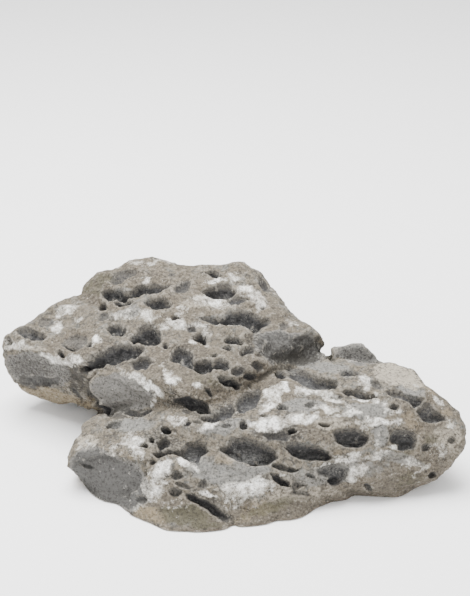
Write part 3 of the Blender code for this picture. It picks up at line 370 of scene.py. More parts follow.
def lattice_noise(points, size, seed):
    """Gradient noise from -1 to 1: hashed slopes at the corners of a lattice of that size, blended."""
    place = points / size
    cell = np.floor(place).astype(np.int64)
    inside = place - cell
    ease = inside ** 3 * (inside * (inside * 6 - 15) + 10)
    total = np.zeros(len(points))
    for corner in np.ndindex(2, 2, 2):
        slope = hashed(cell + corner, seed) / 127.5 - 1
        share = np.prod(np.where(corner, ease, 1 - ease), axis=1)
        total += share * np.sum(slope * (inside - corner), axis=1)
    return total


def rough(points, size, octaves, seed):
    """A sum of octaves of noise, each of half the size and half the height of the one before."""
    return sum(lattice_noise(points, size / 2 ** n, seed + n) / 2 ** n for n in range(octaves))


def scallops(points, size, seed):
    """Cups that meet in sharp crests: the squared distance to the nearest of many scattered middles.

    Each cell of a lattice of that size holds one middle at a hashed place. The value is 0 in a middle and
    about 1 on a crest.
    """
    place = points / size
    cell = np.floor(place).astype(np.int64)
    nearest = np.full(len(points), 9.0)
    for step in np.ndindex(3, 3, 3):
        at = cell + step - 1
        middle = at + hashed(at, seed) / 255
        nearest = np.minimum(nearest, np.sum((place - middle) ** 2, axis=1))
    return np.minimum(nearest, 1)


def ball_grid(steps):
    """The six sides of a cube grid of directions, which points of the sides are one, and the faces.

    Each side is a function of two parameters from -1 to 1, evened out by a tangent.
    """
    turn = np.tan(np.linspace(-1, 1, steps + 1) * math.pi / 4)
    u, v = np.meshgrid(turn, turn, indexing="ij")
    sides = np.zeros((6, steps + 1, steps + 1, 3))
    for n in range(6):
        axis, side = n // 2, 1 - 2 * (n % 2)
        sides[n, ..., axis] = side
        sides[n, ..., (axis + 1) % 3] = u
        sides[n, ..., (axis + 2) % 3] = v * side
    sides /= np.linalg.norm(sides, axis=3, keepdims=True)
    number = np.arange(6 * (steps + 1) ** 2).reshape(6, steps + 1, steps + 1)
    corners = [number[:, :-1, :-1], number[:, 1:, :-1], number[:, 1:, 1:], number[:, :-1, 1:]]
    places = np.round(sides.reshape(-1, 3), 7)
    _, first, same = np.unique(places, axis=0, return_index=True, return_inverse=True)
    same = same.reshape(-1)
    return sides, first, same, same[np.stack(corners, axis=-1).reshape(-1, 4)]


def doubled(sides):
    """Side grids with a point added half way along every step, in both directions."""
    wide = np.zeros((6, 2 * sides.shape[1] - 1, sides.shape[2], 3))
    wide[:, ::2] = sides
    wide[:, 1::2] = (sides[:, 1:] + sides[:, :-1]) / 2
    full = np.zeros((6, wide.shape[1], 2 * wide.shape[2] - 1, 3))
    full[:, :, ::2] = wide
    full[:, :, 1::2] = (wide[:, :, 1:] + wide[:, :, :-1]) / 2
    return full


def gathered(values, faces, count):
    """At each of so many points, the sum of the values of the faces round it."""
    return np.stack([
        sum(np.bincount(faces[:, n], values[:, axis], count) for n in range(4))
        for axis in range(values.shape[1])
    ], axis=1)


def blurred(values, faces, rounds):
    """Values at the points, each replaced by the mean of its faces' corners, round by round."""
    around = np.bincount(faces.reshape(-1), minlength=len(values))[:, None]
    for _ in range(rounds):
        values = gathered(values[faces].mean(axis=1), faces, len(values)) / around
    return values


def slid(points, faces, rounds):
    """Draws the points towards their neighbours along the surface, which fills steep walls with points."""
    for _ in range(rounds):
        normals = normals_of(points, faces)
        step = blurred(points, faces, 1) - points
        points = points + step - normals * np.sum(step * normals, axis=1)[:, None]
    return points


def crossed_diagonals(points, faces):
    """The cross product of each face's diagonals: its normal, twice as long as its area."""
    corner = points[faces]
    return np.cross(corner[:, 2] - corner[:, 0], corner[:, 3] - corner[:, 1])


def unfolded(points, faces, rounds):
    """Smooths the points round any face that is turned over against the surface about it."""
    for _ in range(rounds):
        face_normals = crossed_diagonals(points, faces)
        face_normals /= np.maximum(np.linalg.norm(face_normals, axis=1), 1e-9)[:, None]
        about = blurred(normals_of(points, faces), faces, 3)[faces].mean(axis=1)
        turned = np.sum(face_normals * about, axis=1) < FOLD_LIMIT * np.linalg.norm(about, axis=1)
        marked = np.zeros((len(points), 1))
        marked[faces[turned]] = 1
        marked = np.minimum(1, 3 * blurred(marked, faces, 2))
        points = points + marked * (blurred(points, faces, 2) - points)
    return points


def evened(points, faces, rounds):
    """Draws every point towards the middle of its neighbours and back onto the bare stone, round by round.

    Neighbours on the side that is seen pull harder, so that the grid is finest there.
    """
    for _ in range(rounds):
        seen = np.sum(normals_of(points, faces) * TOWARDS_EYE, axis=1)
        pull = 1 + NEAR_SIDE_PULL * smooth_step(-0.2, 0.3, seen)
        total = np.zeros_like(points)
        weight = np.zeros(len(points))
        for n in range(4):
            for near in (faces[:, (n + 1) % 4], faces[:, (n + 3) % 4]):
                weight += np.bincount(faces[:, n], pull[near], len(points))
                for axis in range(3):
                    total[:, axis] += np.bincount(faces[:, n], pull[near] * points[near, axis], len(points))
        points = reach(total / weight[:, None] - HEART)
    return points


def bare_stone(coarse, doublings):
    """The lobes without relief: a coarse grid spread evenly over them, then doubled and evened again."""
    sides, first, same, faces = ball_grid(coarse)
    points = evened(reach(sides.reshape(-1, 3)[first] * STRETCH), faces, FIRST_EVENING)
    for n in range(doublings):
        sides = doubled(points[same].reshape(6, coarse * 2 ** n + 1, coarse * 2 ** n + 1, 3))
        _, first, same, faces = ball_grid(coarse * 2 ** (n + 1))
        points = evened(sides.reshape(-1, 3)[first], faces, LATER_EVENING // 2 ** n)
        points = slid(points, faces, SLIDE_ROUNDS)
    return points, faces


def normals_of(points, faces):
    """The unit normal at each point: the crossed diagonals of the faces round it, added up."""
    total = gathered(crossed_diagonals(points, faces), faces, len(points))
    return total / np.maximum(np.linalg.norm(total, axis=1), 1e-9)[:, None]


def core(radius):
    """Six points round the heart, so that every lobe grows out of the middle of the stone."""
    return [HEART + radius * side * axis for axis in np.eye(3) for side in (-1, 1)]


def hull_planes(corners):
    """The outward normals and offsets of the faces of the hull round the corners."""
    shell = bmesh.new()
    for corner in corners:
        shell.verts.new(corner)
    bmesh.ops.convex_hull(shell, input=shell.verts)
    shell.normal_update()
    planes = np.array([(*face.normal, face.normal.dot(face.verts[0].co)) for face in shell.faces])
    shell.free()
    inward = planes[:, :3] @ HEART > planes[:, 3]
    planes[inward] *= -1
    return planes[:, :3], planes[:, 3]


def soft_least(values, softness):
    """The least of each row, rounded where two are close, by a log of summed exponentials."""
    least = values.min(axis=1)
    return least - softness * np.log(np.exp((least[:, None] - values) / softness).sum(axis=1))


def lobes():
    """The corners of each lobe, in millimetres. Where a lobe meets the ground it goes on below it."""
    seen = (REAR_SLAB, FRONT_SLAB, LEFT_FOOT, NOSE, SHOULDER, KNOB, FOOT_SEEN)
    hidden = (REAR_SLAB_BACK, FRONT_SLAB_BACK, LEFT_FOOT_BACK, (), (), KNOB_BACK, FOOT_BACK)
    for near, far in zip(seen, hidden):
        corners = [spot(*corner) for corner in near] + [np.array(corner, float) for corner in far]
        corners += [corner - (0, 0, BELOW_GROUND) for corner in corners if corner[2] <= GROUND_CORNER]
        yield corners + core(KNOB_CORE_RADIUS if near is KNOB else CORE_RADIUS)


def reach(directions):
    """Where the bare stone ends along each direction from its heart.

    A ray leaves a lobe at the nearest of the lobe's planes that it crosses outwards, taken as a soft least,
    and leaves the stone with the farthest lobe, taken as a soft most. The ground cuts it off level.
    """
    lengths = np.linalg.norm(directions, axis=1)
    unit = directions / lengths[:, None]
    exits = []
    for corners in lobes():
        normals, offsets = hull_planes(corners)
        speed = unit @ normals.T
        crossing = (offsets - normals @ HEART) / np.maximum(speed, 1e-4)
        exits.append(soft_least(crossing, EDGE_SOFTNESS))
    farthest = -soft_least(-np.stack(exits, axis=1), VALLEY_SOFTNESS)
    ground = HEART[2] / np.maximum(-unit[:, 2], 1e-4)
    return HEART + unit * np.minimum(farthest, ground)[:, None]


def fitted_to_outline(points):
    """Moves the points across the line of sight, so that the stone's rim is seen on the outline.

    The rim is the farthest point in each of many sectors round the outline's middle. Its distance is scaled
    to the outline's, and the change fades out towards the middle. Points near the ground move level.
    """
    picture = seen_at(points) - OUTLINE_MIDDLE
    angle = np.arctan2(picture[:, 1], picture[:, 0])
    radius = np.linalg.norm(picture, axis=1)
    sector = np.floor((angle + math.pi) / (2 * math.pi) * RIM_SECTORS).astype(int) % RIM_SECTORS
    rim = np.zeros(RIM_SECTORS)
    np.maximum.at(rim, sector, radius)
    rim = np.maximum(rim, (np.roll(rim, 1) + np.roll(rim, -1)) / 2)
    drawn = np.array(OUTLINE, float) - OUTLINE_MIDDLE
    drawn_angle = np.arctan2(drawn[:, 1], drawn[:, 0])
    order = np.argsort(drawn_angle)
    at = (np.arange(RIM_SECTORS) + 0.5) / RIM_SECTORS * 2 * math.pi - math.pi
    goal = np.interp(at, drawn_angle[order], np.linalg.norm(drawn, axis=1)[order], period=2 * math.pi)
    ratio = np.clip(goal / rim, 0.92, 1.08)
    for _ in range(RIM_ROUNDS):
        ratio = (np.roll(ratio, 1) + 2 * ratio + np.roll(ratio, -1)) / 4
    here = np.interp(angle, at, ratio, period=2 * math.pi)
    share = smooth_step(0.5, 0.97, radius / np.interp(angle, at, rim, period=2 * math.pi))
    shift = picture * ((here - 1) * share)[:, None]
    away = ((points - EYE) @ AHEAD) / FOCAL_ROWS
    across = points + away[:, None] * (shift[:, :1] * ASIDE - shift[:, 1:] * UPWARD)
    sight = across - EYE
    level = EYE + sight * ((points[:, 2] - EYE[2]) / sight[:, 2])[:, None]
    raised = smooth_step(1.0, 12.0, points[:, 2])[:, None]
    return across * raised + level * (1 - raised)


def inside_by(picture, rim):
    """How many pixels each point lies inside a rim, and less than 0 outside it.

    That is the distance to the nearest side. A point is inside where a level ray from it crosses an odd
    number of sides.
    """
    starts = np.array(rim, float)
    nearest = np.full(len(picture), 1e9)
    inside = np.zeros(len(picture), bool)
    for start, end in zip(starts, np.roll(starts, -1, axis=0)):
        side = end - start
        offset = picture - start
        along = np.clip(offset @ side / (side @ side), 0, 1)
        nearest = np.minimum(nearest, np.linalg.norm(offset - along[:, None] * side, axis=1))
        crosses = (start[1] > picture[:, 1]) != (end[1] > picture[:, 1])
        turn = offset[:, 0] * side[1] - offset[:, 1] * side[0]
        inside ^= crosses & (turn * side[1] < 0)
    return np.where(inside, nearest, -nearest)


def wandering(points):
    """The columns and rows where the points are seen, shifted by noise so that drawn rims turn ragged."""
    shift = [rough(points, 8, 3, seed) for seed in (41, 47)]
    return seen_at(points) + RIM_WANDER * np.stack(shift, axis=1)


def pit_share(distance):
    """The depth of a pit at a distance from its middle, with its rim at 1: cupped, with a steep wall."""
    return (1 - smooth_step(0.62, 1.0, distance)) * (1 - 0.25 * np.minimum(distance, 1) ** 2)


def seen_pits(points, facing):
    """The depth of the pits that are seen, and how hollow it is at each point, from 0 to 1.

    A large pit is drawn by its rim. Its upper wall slopes gently, its lower wall is steep, and its floor
    sinks towards the lower wall. A small one is an ellipse. Where pits cross, the deeper one counts.
    """
    picture = wandering(points)
    depth = np.zeros(len(points))
    hollow = np.zeros(len(points))
    for deep, *rim in REAR_PITS + SHOULDER_PITS + FRONT_PITS:
        low, high = np.min(rim, axis=0) - 3, np.max(rim, axis=0) + 3
        near = np.flatnonzero(((picture > low) & (picture < high)).all(axis=1))
        inside = inside_by(picture[near], rim)
        low_down = (2 * picture[near, 1] - low[1] - high[1]) / (high[1] - low[1])
        wall = inside.max(initial=1) * (WALL_REACH - LOW_WALL_LESS * smooth_step(-0.4, 0.7, low_down))
        share = smooth_step(-1.2, wall, inside) * facing[near]
        sunk = deep * share * (0.75 + 0.25 * low_down)
        depth[near] = np.maximum(depth[near], DEEPENING * sunk)
        hollow[near] = np.maximum(hollow[near], np.minimum(1, sunk / HOLLOW_FROM))
    for *ellipse, deep in SMALL_PITS:
        share = pit_share(0.9 * ellipse_distance(picture, *ellipse)) * facing
        depth = np.maximum(depth, DEEPENING * deep * share)
        hollow = np.maximum(hollow, np.minimum(1, deep * share / HOLLOW_FROM))
    return depth, hollow


def broken_faces(points, facing):
    """How deep the stone has split off at each point, and the share of a flat broken face there."""
    picture = wandering(points)
    depth = np.zeros(len(points))
    flat = np.zeros(len(points))
    for deep, edge, *rim in BROKEN_FACES:
        share = smooth_step(-0.5 * edge, edge, inside_by(picture, rim)) * facing
        depth = np.maximum(depth, deep * share)
        flat = np.maximum(flat, share)
    return depth, flat


def parted(points):
    """The gap beside the knob, pressed straight down through the ridge between it and the rear slab."""
    high = smooth_step(42, 56, points[:, 2]) * smooth_step(5, 14, points[:, 1])
    drop = GAP_DEPTH * smooth_step(-1.0, 2.5, inside_by(seen_at(points), GAP)) * high
    return points - drop[:, None] * (0, 0, 1)


def hidden_pits(points, normals, facing):
    """The depth of the pits on the hidden sides, and how hollow it is there, from 0 to 1.

    They are scattered ellipses, laid along the beds from a fixed seed. The deeper one counts.
    """
    chance = np.random.default_rng(7)
    depth = np.zeros(len(points))
    hollow = np.zeros(len(points))
    shortest, longest = HIDDEN_PIT_LENGTH
    ragged = 1 + 0.42 * rough(points, 10, 3, 43)
    for anchor in hidden_middles(chance):
        half_length = shortest + (longest - shortest) * chance.random() ** 2.2
        half_width = half_length * chance.uniform(0.35, 0.75)
        deep = min(HIDDEN_PIT_DEPTH, half_width * chance.uniform(0.8, 1.5))
        lie = chance.normal(0, 0.2, 3) + HIDDEN_PIT_LIE
        middle = np.argmin(np.sum((points - anchor) ** 2, axis=1))
        along_axis = lie - normals[middle] * (lie @ normals[middle])
        along_axis /= np.linalg.norm(along_axis)
        beside_axis = np.cross(normals[middle], along_axis)
        offset = points - points[middle]
        along, beside = offset @ along_axis / half_length, offset @ beside_axis / half_width
        under = offset @ normals[middle] / half_length
        share = pit_share(np.sqrt(along ** 2 + beside ** 2 + under ** 2) * ragged) * (1 - facing)
        depth = np.maximum(depth, deep * share)
        hollow = np.maximum(hollow, np.minimum(1, deep * share / HOLLOW_FROM))
    return depth, hollow


def hidden_middles(chance):
    """Places for the hidden pits on the back, the ends and the underside: rays cut off by the bare stone."""
    rays = chance.normal(0, 1, (HIDDEN_PITS * 4, 3))
    rays /= np.linalg.norm(rays, axis=1)[:, None]
    back = rays @ TOWARDS_EYE < -0.15
    return reach(rays[back][:HIDDEN_PITS] * STRETCH)


def relief(points, normals, hollow, flat, facing):
    """The height of the weathering over the bare stone, in millimetres.

    Broad swells, then cups of two sizes that meet in crests, then layers that show where a face cuts
    across the beds, then pinholes and grain. Hollows are rougher, broken faces are plainer, and the rear
    slab is more rugged than the front one.
    """
    bed = BED_NORMAL / np.linalg.norm(BED_NORMAL)
    cupped = points / CUP_STRETCH
    cut = 1 - np.abs(normals @ bed) ** 2
    along_beds = points / BED_STRETCH + bed * (points @ bed)[:, None] * (1 - 1 / BED_STRETCH)
    rugged = (0.75 + 0.45 * smooth_step(-20, 25, points[:, 1])) * (1 - 0.8 * flat)
    swells = (SWELL_HEIGHT + EXTRA_HIDDEN_SWELL * (1 - facing)) * rough(points, SWELL, 3, 3)
    cups = CUP_HEIGHT * scallops(cupped, CUP, 5) + SMALL_CUP_HEIGHT * scallops(cupped, SMALL_CUP, 9)
    height = swells * (1 - 0.5 * flat)
    height += rugged * (cups - MEAN_CUP_HEIGHT)
    height += (0.3 + 2.0 * hollow + 0.4 * cut) * rough(along_beds, LAYER, 2, 17)
    pinholes = 1 - smooth_step(0.0, 0.09, scallops(points, PINHOLE_SPACING, 13))
    height -= PINHOLE_DEPTH * rugged * pinholes * smooth_step(0, 0.3, rough(points, 24, 2, 19))
    return height + (0.5 + 0.5 * rugged + 0.7 * hollow) * rough(points, GRAIN, 2, 11)


def in_sight(points, normals):
    """How far each point of the bare stone faces the eye, from 0 to 1, and the direction to the eye.

    What lies low behind the left foot is hidden, and counts as 0.
    """
    to_eye = to_the_eye(points)
    facing = smooth_step(-0.02, 0.15, np.sum(normals * to_eye, axis=1))
    behind = smooth_step(-12, 5, points[:, 1]) * smooth_step(-125, -112, points[:, 0])
    return facing * (1 - behind * (1 - smooth_step(20, 30, points[:, 2]))), to_eye


def levelled(points, grounded, faces):
    """The foot: flat round its rim, with shallow hollows further in, and nothing below the ground."""
    inner = smooth_step(0.6, 0.98, blurred(grounded[:, None].astype(float), faces, 8)[:, 0])
    hollows = 12 * lattice_noise(points * (0.67, 1, 0), FOOT_HOLLOW, 21)
    lifted = np.clip(hollows - 0.6, 0, FOOT_HOLLOW_DEPTH)
    points[:, 2] = np.where(grounded, lifted * inner, np.maximum(points[:, 2], 0))
    return points


def stone_surface(coarse, doublings):
    """The stone's points in millimetres, its faces, and how hollow it is at each point."""
    points, faces = bare_stone(coarse, doublings)
    grounded = points[:, 2] < 0.01
    points = fitted_to_outline(points)
    normals = blurred(normals_of(points, faces), faces, NORMAL_ROUNDS)
    bend = np.linalg.norm(normals, axis=1)
    normals /= bend[:, None]
    facing, to_eye = in_sight(points, normals)
    # Relief and pits fade near the ground, and where the bare stone turns so sharply that walls could meet
    gentle = smooth_step(0.45, 0.85, bend)
    above_foot = smooth_step(0.0, 8.0, points[:, 2]) * gentle
    above_rim = smooth_step(2.0, 14.0, points[:, 2]) * gentle
    depth, hollow = seen_pits(points, facing)
    far_depth, far_hollow = hidden_pits(points, normals, facing)
    depth, hollow = np.maximum(depth, far_depth) * above_rim, np.maximum(hollow, far_hollow) * above_rim
    split, flat = broken_faces(points, facing)
    upslope = np.array([0, 0, 1.0]) - normals * normals[:, 2:]
    inward = 0.8 * normals + (0.2 * facing)[:, None] * to_eye + (UNDERCUT * facing)[:, None] * upslope
    height = (relief(points, normals, hollow, flat, facing) - split) * above_foot
    points = parted(points + normals * height[:, None] - inward * depth[:, None])
    wall = (smooth_step(0.02, 0.3, hollow) * (1 - smooth_step(0.4, 0.9, hollow)))[:, None]
    points = points + 0.6 * wall * (blurred(points, faces, 1) - points)
    points = unfolded(fitted_to_outline(points), faces, UNFOLD_ROUNDS)
    return levelled(points, grounded, faces), faces, hollow


# How far the rims of patches wander, in pixels
PATCH_WANDER = 7.0
# Patches of crust and stains, and of painted shade and painted light: column, row, half length, half width,
# tilt in degrees, strength
CHALK = (
    (65, 311, 12, 5, -20, 0.8), (57, 328, 6, 7, 0, 0.9), (97, 339, 5, 4, 0, 1), (72, 360, 17, 6, 10, 0.8),
    (20, 345, 20, 5, 2, 0.6), (48, 356, 12, 3, 27, 0.8), (80, 319, 5, 3, 0, 0.7),
    (124, 313, 16, 6, -12, 0.65), (148, 316, 14, 6, 10, 0.7), (172, 325, 15, 8, 0, 0.8),
    (200, 326, 8, 3.5, 0, 0.6), (207, 334, 4, 7, 0, 0.7), (198, 341, 13, 3, 10, 0.8),
    (212, 303, 21, 6, 5, 0.75), (233, 279, 8, 4, -20, 0.8), (216, 280, 14, 2.4, -5, 0.8),
    (247, 292, 8, 7, 40, 0.9), (259, 303, 7, 9, -20, 0.9), (152, 263, 24, 3, 2, 0.5),
    (146, 281, 6, 3, -20, 0.7), (128, 373, 12, 5, 20, 0.8), (144, 383, 19, 6, 30, 1.5),
    (154, 390, 11, 5, 38, 2.0), (153, 402, 2.6, 6, 0, 0.9), (173, 379, 10, 5, 15, 0.9),
    (199, 386, 6, 3.5, 0, 0.9), (162, 366, 4, 2.6, -15, 0.8), (168, 371, 4, 4, 0, 0.8),
    (161, 418, 3, 4, 0, 0.7), (177, 421, 14, 4, 5, 0.85), (207, 427, 8, 5, -10, 0.9),
    (133, 440, 12, 9, 0, 0.75), (140, 455, 9, 7, 0, 0.9), (86, 446, 9, 6, 0, 0.6),
    (112, 449, 14, 5, 0, 0.45), (160, 470, 12, 8, -20, 0.9), (155, 488, 12, 12, 0, 0.8),
    (185, 463, 14, 3.4, 34, 1.2), (138, 505, 9, 6, 30, 0.4), (172, 505, 12, 5, 0, 0.4),
    (258, 423, 14, 5, -8, 1), (284, 422, 22, 6, -10, 1), (306, 419, 16, 4.5, -12, 0.9),
    (262, 428, 24, 3, 0, 0.8), (272, 394, 8, 12, 20, 0.95), (286, 386, 5, 4, 30, 1),
    (264, 408, 5, 8, 30, 0.8), (308, 390, 12, 6, 20, 0.95), (326, 394, 14, 4.5, 25, 0.95),
    (322, 408, 14, 3.5, 0, 0.9), (340, 402, 12, 3, 30, 0.8), (346, 414, 20, 3, -4, 0.8),
    (375, 422, 24, 4.6, -2, 0.95), (364, 424, 8, 6, 0, 0.9), (362, 398, 14, 1.8, -3, 0.9),
    (366, 383, 4, 8, -20, 0.9), (352, 458, 14, 7, -8, 0.95), (372, 455, 16, 3.6, -10, 0.9),
    (376, 441, 3, 8, 0, 0.9), (363, 470, 4, 9, 20, 0.9), (356, 476, 8, 8, 0, 0.8),
    (322, 465, 9, 2.2, -18, 0.8), (340, 461, 8, 2, -30, 0.7), (398, 449, 12, 2.5, 6, 0.6),
    (246, 489, 22, 8, -8, 0.9), (238, 500, 14, 9, 0, 0.8), (262, 484, 16, 5, 10, 0.8),
    (208, 495, 9, 2.4, 12, 0.9), (376, 400, 5, 6, 0, 0.8), (388, 406, 6, 4, 0, 0.8),
    (396, 412, 8, 3, 0, 0.8), (420, 386, 12, 3.4, 30, 0.5), (437, 402, 10, 3, 50, 0.6),
    (450, 424, 6, 5, 0, 0.6), (418, 468, 12, 4, -30, 0.5), (440, 452, 8, 6, 0, 0.4),
    (410, 462, 6, 8, 30, 0.5), (265, 462, 10, 2.4, -20, 0.5), (184, 310, 10, 5, 0, 0.4),
    (310, 330, 9, 3, 40, 0.3), (276, 296, 7, 3, 50, 0.6), (292, 320, 8, 3.4, 40, 0.4),
    (283, 474, 6, 1.8, 20, 0.8), (110, 262, 18, 2.6, -25, 0.5),
)
MUD = (
    (110, 285, 40, 22, -25, 0.8), (215, 372, 90, 26, 10, 0.8), (160, 280, 60, 12, 0, 0.6),
    (190, 300, 50, 40, 0, 0.6), (300, 510, 180, 17, -14, 0.9), (400, 470, 60, 20, -20, 0.8),
    (330, 420, 30, 12, 0, 0.4), (320, 430, 22, 10, 0, 0.7), (220, 460, 24, 6, 10, 0.9),
    (268, 330, 40, 25, 20, 0.5), (425, 420, 35, 25, 30, 0.7), (190, 510, 50, 16, 10, 0.8),
    (75, 345, 40, 16, 0, 0.5),
)
# Painted light: a warm tan of bounced light on the undersides
PAINTED_BOUNCE_LIGHT = (
    (52, 397, 40, 8, 13, 1), (80, 401, 18, 8, 12, 0.8), (258, 512, 26, 7, -20, 0.5),
    (150, 515, 18, 8, 10, 0.5),
)
# Pale patches: partly a paler surface and partly painted highlight, on the lit top at the right and along the
# lit left edge of the shoulder
PALE_AND_PAINTED_HIGHLIGHT = (
    (400, 376, 26, 10, 15, 1), (447, 436, 16, 16, 0, 0.6), (330, 424, 18, 9, 0, 0.7),
    (290, 496, 50, 8, -8, 0.5), (226, 458, 12, 5, 0, 0.6), (25, 346, 20, 4, 4, 0.7),
    (91, 374, 5, 5, 0, 0.8), (84, 388, 2.6, 14, 0, 0.9), (187, 395, 20, 5, 20, 0.4),
    (205, 303, 26, 8, 0, 0.5), (90, 442, 12, 8, 0, 0.6), (300, 493, 30, 10, 0, 0.5),
)
SMOOTH_GREY = (
    (222, 472, 36, 15, 8, 1), (245, 470, 26, 8, 0, 0.8), (226, 426, 20, 6, -8, 0.9),
    (300, 406, 26, 8, 0, 0.8), (122, 291, 8, 3.6, 0, 0.9), (128, 311, 14, 6, -10, 0.7),
    (365, 411, 24, 8, 0, 0.9), (322, 367, 26, 6, 5, 1), (410, 392, 14, 5, 15, 0.8),
    (340, 472, 60, 12, -8, 0.5), (380, 436, 10, 12, 0, 0.8), (400, 458, 26, 6, 10, 0.6),
    (214, 318, 24, 3, -3, 0.5), (130, 425, 24, 7, 0, 0.7), (310, 420, 10, 6, 0, 0.4),
    (216, 432, 16, 4, 0, 0.8),
)
# Painted shade: dark patches where shade falls, in the hollow at the rear slab's right end, on the left
# lobe's face, under the shoulder, in the valleys and under overhangs
PAINTED_SHADE = (
    (285, 354, 34, 11, 12, 0.6), (304, 350, 20, 10, 14, 0.5), (79, 382, 9, 20, -18, 0.9),
    (62, 372, 10, 12, 0, 0.4), (33, 368, 24, 13, 10, 0.6), (36, 383, 22, 7, 6, 0.8),
    (228, 412, 22, 9, -20, 0.7), (190, 405, 26, 9, 24, 0.6), (165, 440, 20, 10, 20, 0.5),
    (125, 413, 26, 4, 0, 0.9), (280, 433, 26, 8, 0, 0.7), (255, 340, 12, 8, 0, 0.5),
    (110, 356, 34, 12, -12, 0.5), (264, 284, 10, 3, 55, 0.8), (215, 508, 24, 8, 32, 0.7),
    (84, 490, 18, 8, 32, 0.7), (100, 500, 22, 6, 30, 0.5), (330, 480, 14, 8, 0, 0.4),
    (402, 436, 14, 9, 0, 0.5), (182, 287, 12, 6, -20, 0.5), (395, 396, 12, 6, 15, 0.4),
    (340, 353, 12, 10, 0, 0.3), (142, 276, 26, 5, -4, 0.4), (184, 352, 13, 10, 0, 0.5),
)
# Broken faces in fresh grey; where they are strongest, on the left foot's face and in the hollow at the rear
# slab's right end, the darker tone is partly painted shade
BROKEN_AND_PAINTED_SHADE = (
    (119, 394, 33, 18, 8, 0.6), (108, 481, 42, 27, 26, 1.1), (358, 352, 26, 12, 12, 0.9),
    (38, 370, 34, 16, 12, 0.6), (290, 347, 36, 16, 12, 1.0),
)
RUST = (
    (431, 391, 8, 4.5, 25, 1), (412, 421, 13, 6, 20, 0.8), (132, 455, 7, 5, 0, 0.7),
    (448, 413, 6, 5, 0, 0.7), (258, 506, 11, 5, -30, 0.7), (332, 395, 5, 3, 0, 0.6),
    (222, 459, 10, 4, 10, 0.8), (244, 464, 10, 2.5, 12, 0.8), (160, 472, 6, 5, 0, 0.6),
    (30, 336, 9, 2, 5, 1), (345, 361, 6, 3, 0, 0.6), (150, 513, 12, 5, 10, 0.5),
    (340, 452, 10, 3, -20, 0.7), (230, 390, 6, 3, 0, 0.4), (84, 378, 4, 8, 20, 0.5),
    (155, 387, 6, 3, 35, 0.4),
)
ALGAE = (
    (185, 516, 24, 9, 8, 1), (270, 508, 30, 7, -18, 0.6), (205, 525, 20, 4, 0, 0.7),
    (215, 380, 30, 8, 5, 0.4), (400, 452, 14, 6, 0, 0.4), (430, 440, 12, 8, 40, 0.5),
    (96, 285, 22, 9, -30, 0.5), (412, 480, 20, 6, -15, 0.4),
)
# Where each kind lies: its patches and the blur of their rims. On the sides that are hidden noise lays it
# instead: the noise's size in millimetres and seed, the values at which it starts and is full, and the most
LAID = {
    "mud": (MUD, 0.5, 44, 57, -0.2, 0.4, 1.0),
    "pale": (PALE_AND_PAINTED_HIGHLIGHT, 0.4, 30, 59, 0.15, 0.5, 0.7),
    "smooth_grey": (SMOOTH_GREY, 0.4, 36, 61, 0.05, 0.4, 1.0),
    "shade": (PAINTED_SHADE, 0.5, 28, 63, 0.1, 0.5, 0.7),
    "rust": (RUST, 0.5, 25, 67, 0.25, 0.6, 1.0),
    "algae": (ALGAE, 0.5, 50, 71, 0.15, 0.5, 0.7),
}


def patches(picture, table, blur):
    """How far each point is inside any patch: its strength in an ellipse, fading to 0 past the rim."""
    share = np.zeros(len(picture))
    for *ellipse, strength in table:
        outside = smooth_step(1 - blur, 1 + blur, ellipse_distance(picture, *ellipse))
        share = np.maximum(share, strength * (1 - outside))
    return share


def dip(points, normals, faces, rounds):
    """How far each point lies below the mean of its neighbourhood, along its normal, in millimetres."""
    return np.sum((blurred(points, faces, rounds) - points) * normals, axis=1)


def weathering(points, normals, faces, hollow, facing):
    """The share of each kind of crust, stains, broken faces, painted shade and painted light at each point.

    On the side that is seen they follow the patches, whose rims wander. Elsewhere broad noise lays them
    out, with more chalk on the upper faces and painted warm bounce light on the undersides. Chalk is broken
    into parts and keeps out of the pits. The pits are darkened, partly as their own dark stone and partly as
    painted shade, most on the rear slab. Creases, where a point lies below its neighbourhood, get painted
    shade, and crests, where it lies above, get painted highlight.
    """
    drift = np.stack([rough(points, 11, 4, seed) for seed in (73, 79)], axis=1)
    picture = seen_at(points) + PATCH_WANDER * drift
    away = 1 - facing
    upper = smooth_step(-0.2, 0.6, normals[:, 2])
    under = smooth_step(0.0, 0.7, -normals[:, 2])
    close, wide = dip(points, normals, faces, 2), dip(points, normals, faces, 12)
    shares = {
        kind: patches(picture, table, blur) * facing
        + away * most * smooth_step(begins, full, rough(points, size, 3, seed))
        for kind, (table, blur, size, seed, begins, full, most) in LAID.items()
    }
    scattered = smooth_step(0.0, 0.45, rough(points, 26, 3, 51) + 0.2 * upper - 0.1)
    chalk = patches(picture, CHALK, 0.5) * facing + away * scattered
    parts = 0.55 + 0.65 * smooth_step(-0.3, 0.25, rough(points, 10, 3, 83))
    shares["chalk"] = chalk * parts * (1 - smooth_step(0.15, 0.6, hollow))
    # Painted warm bounce light on the undersides; on the hidden sides it follows the downward faces
    shares["tan"] = patches(picture, PAINTED_BOUNCE_LIGHT, 0.4) * facing + away * under
    shares["broken"] = patches(picture, BROKEN_AND_PAINTED_SHADE, 0.12) * facing
    # The pits are darkened: partly their own dark stone and partly painted shade, most on the rear slab
    shares["hollow"] = hollow
    shares["stain_and_painted_shade"] = hollow * (0.5 + 0.7 * smooth_step(-25, 20, points[:, 1]))
    # Painted shade in creases, where a point lies below its neighbourhood
    shares["painted_crease_shade"] = smooth_step(0.0, 0.6, close) * 0.5 + smooth_step(0.2, 2.4, wide) * 0.5
    # Painted highlight on crests, where a point lies above its neighbourhood
    shares["crest"] = smooth_step(0.03, 0.4, -close)
    return shares


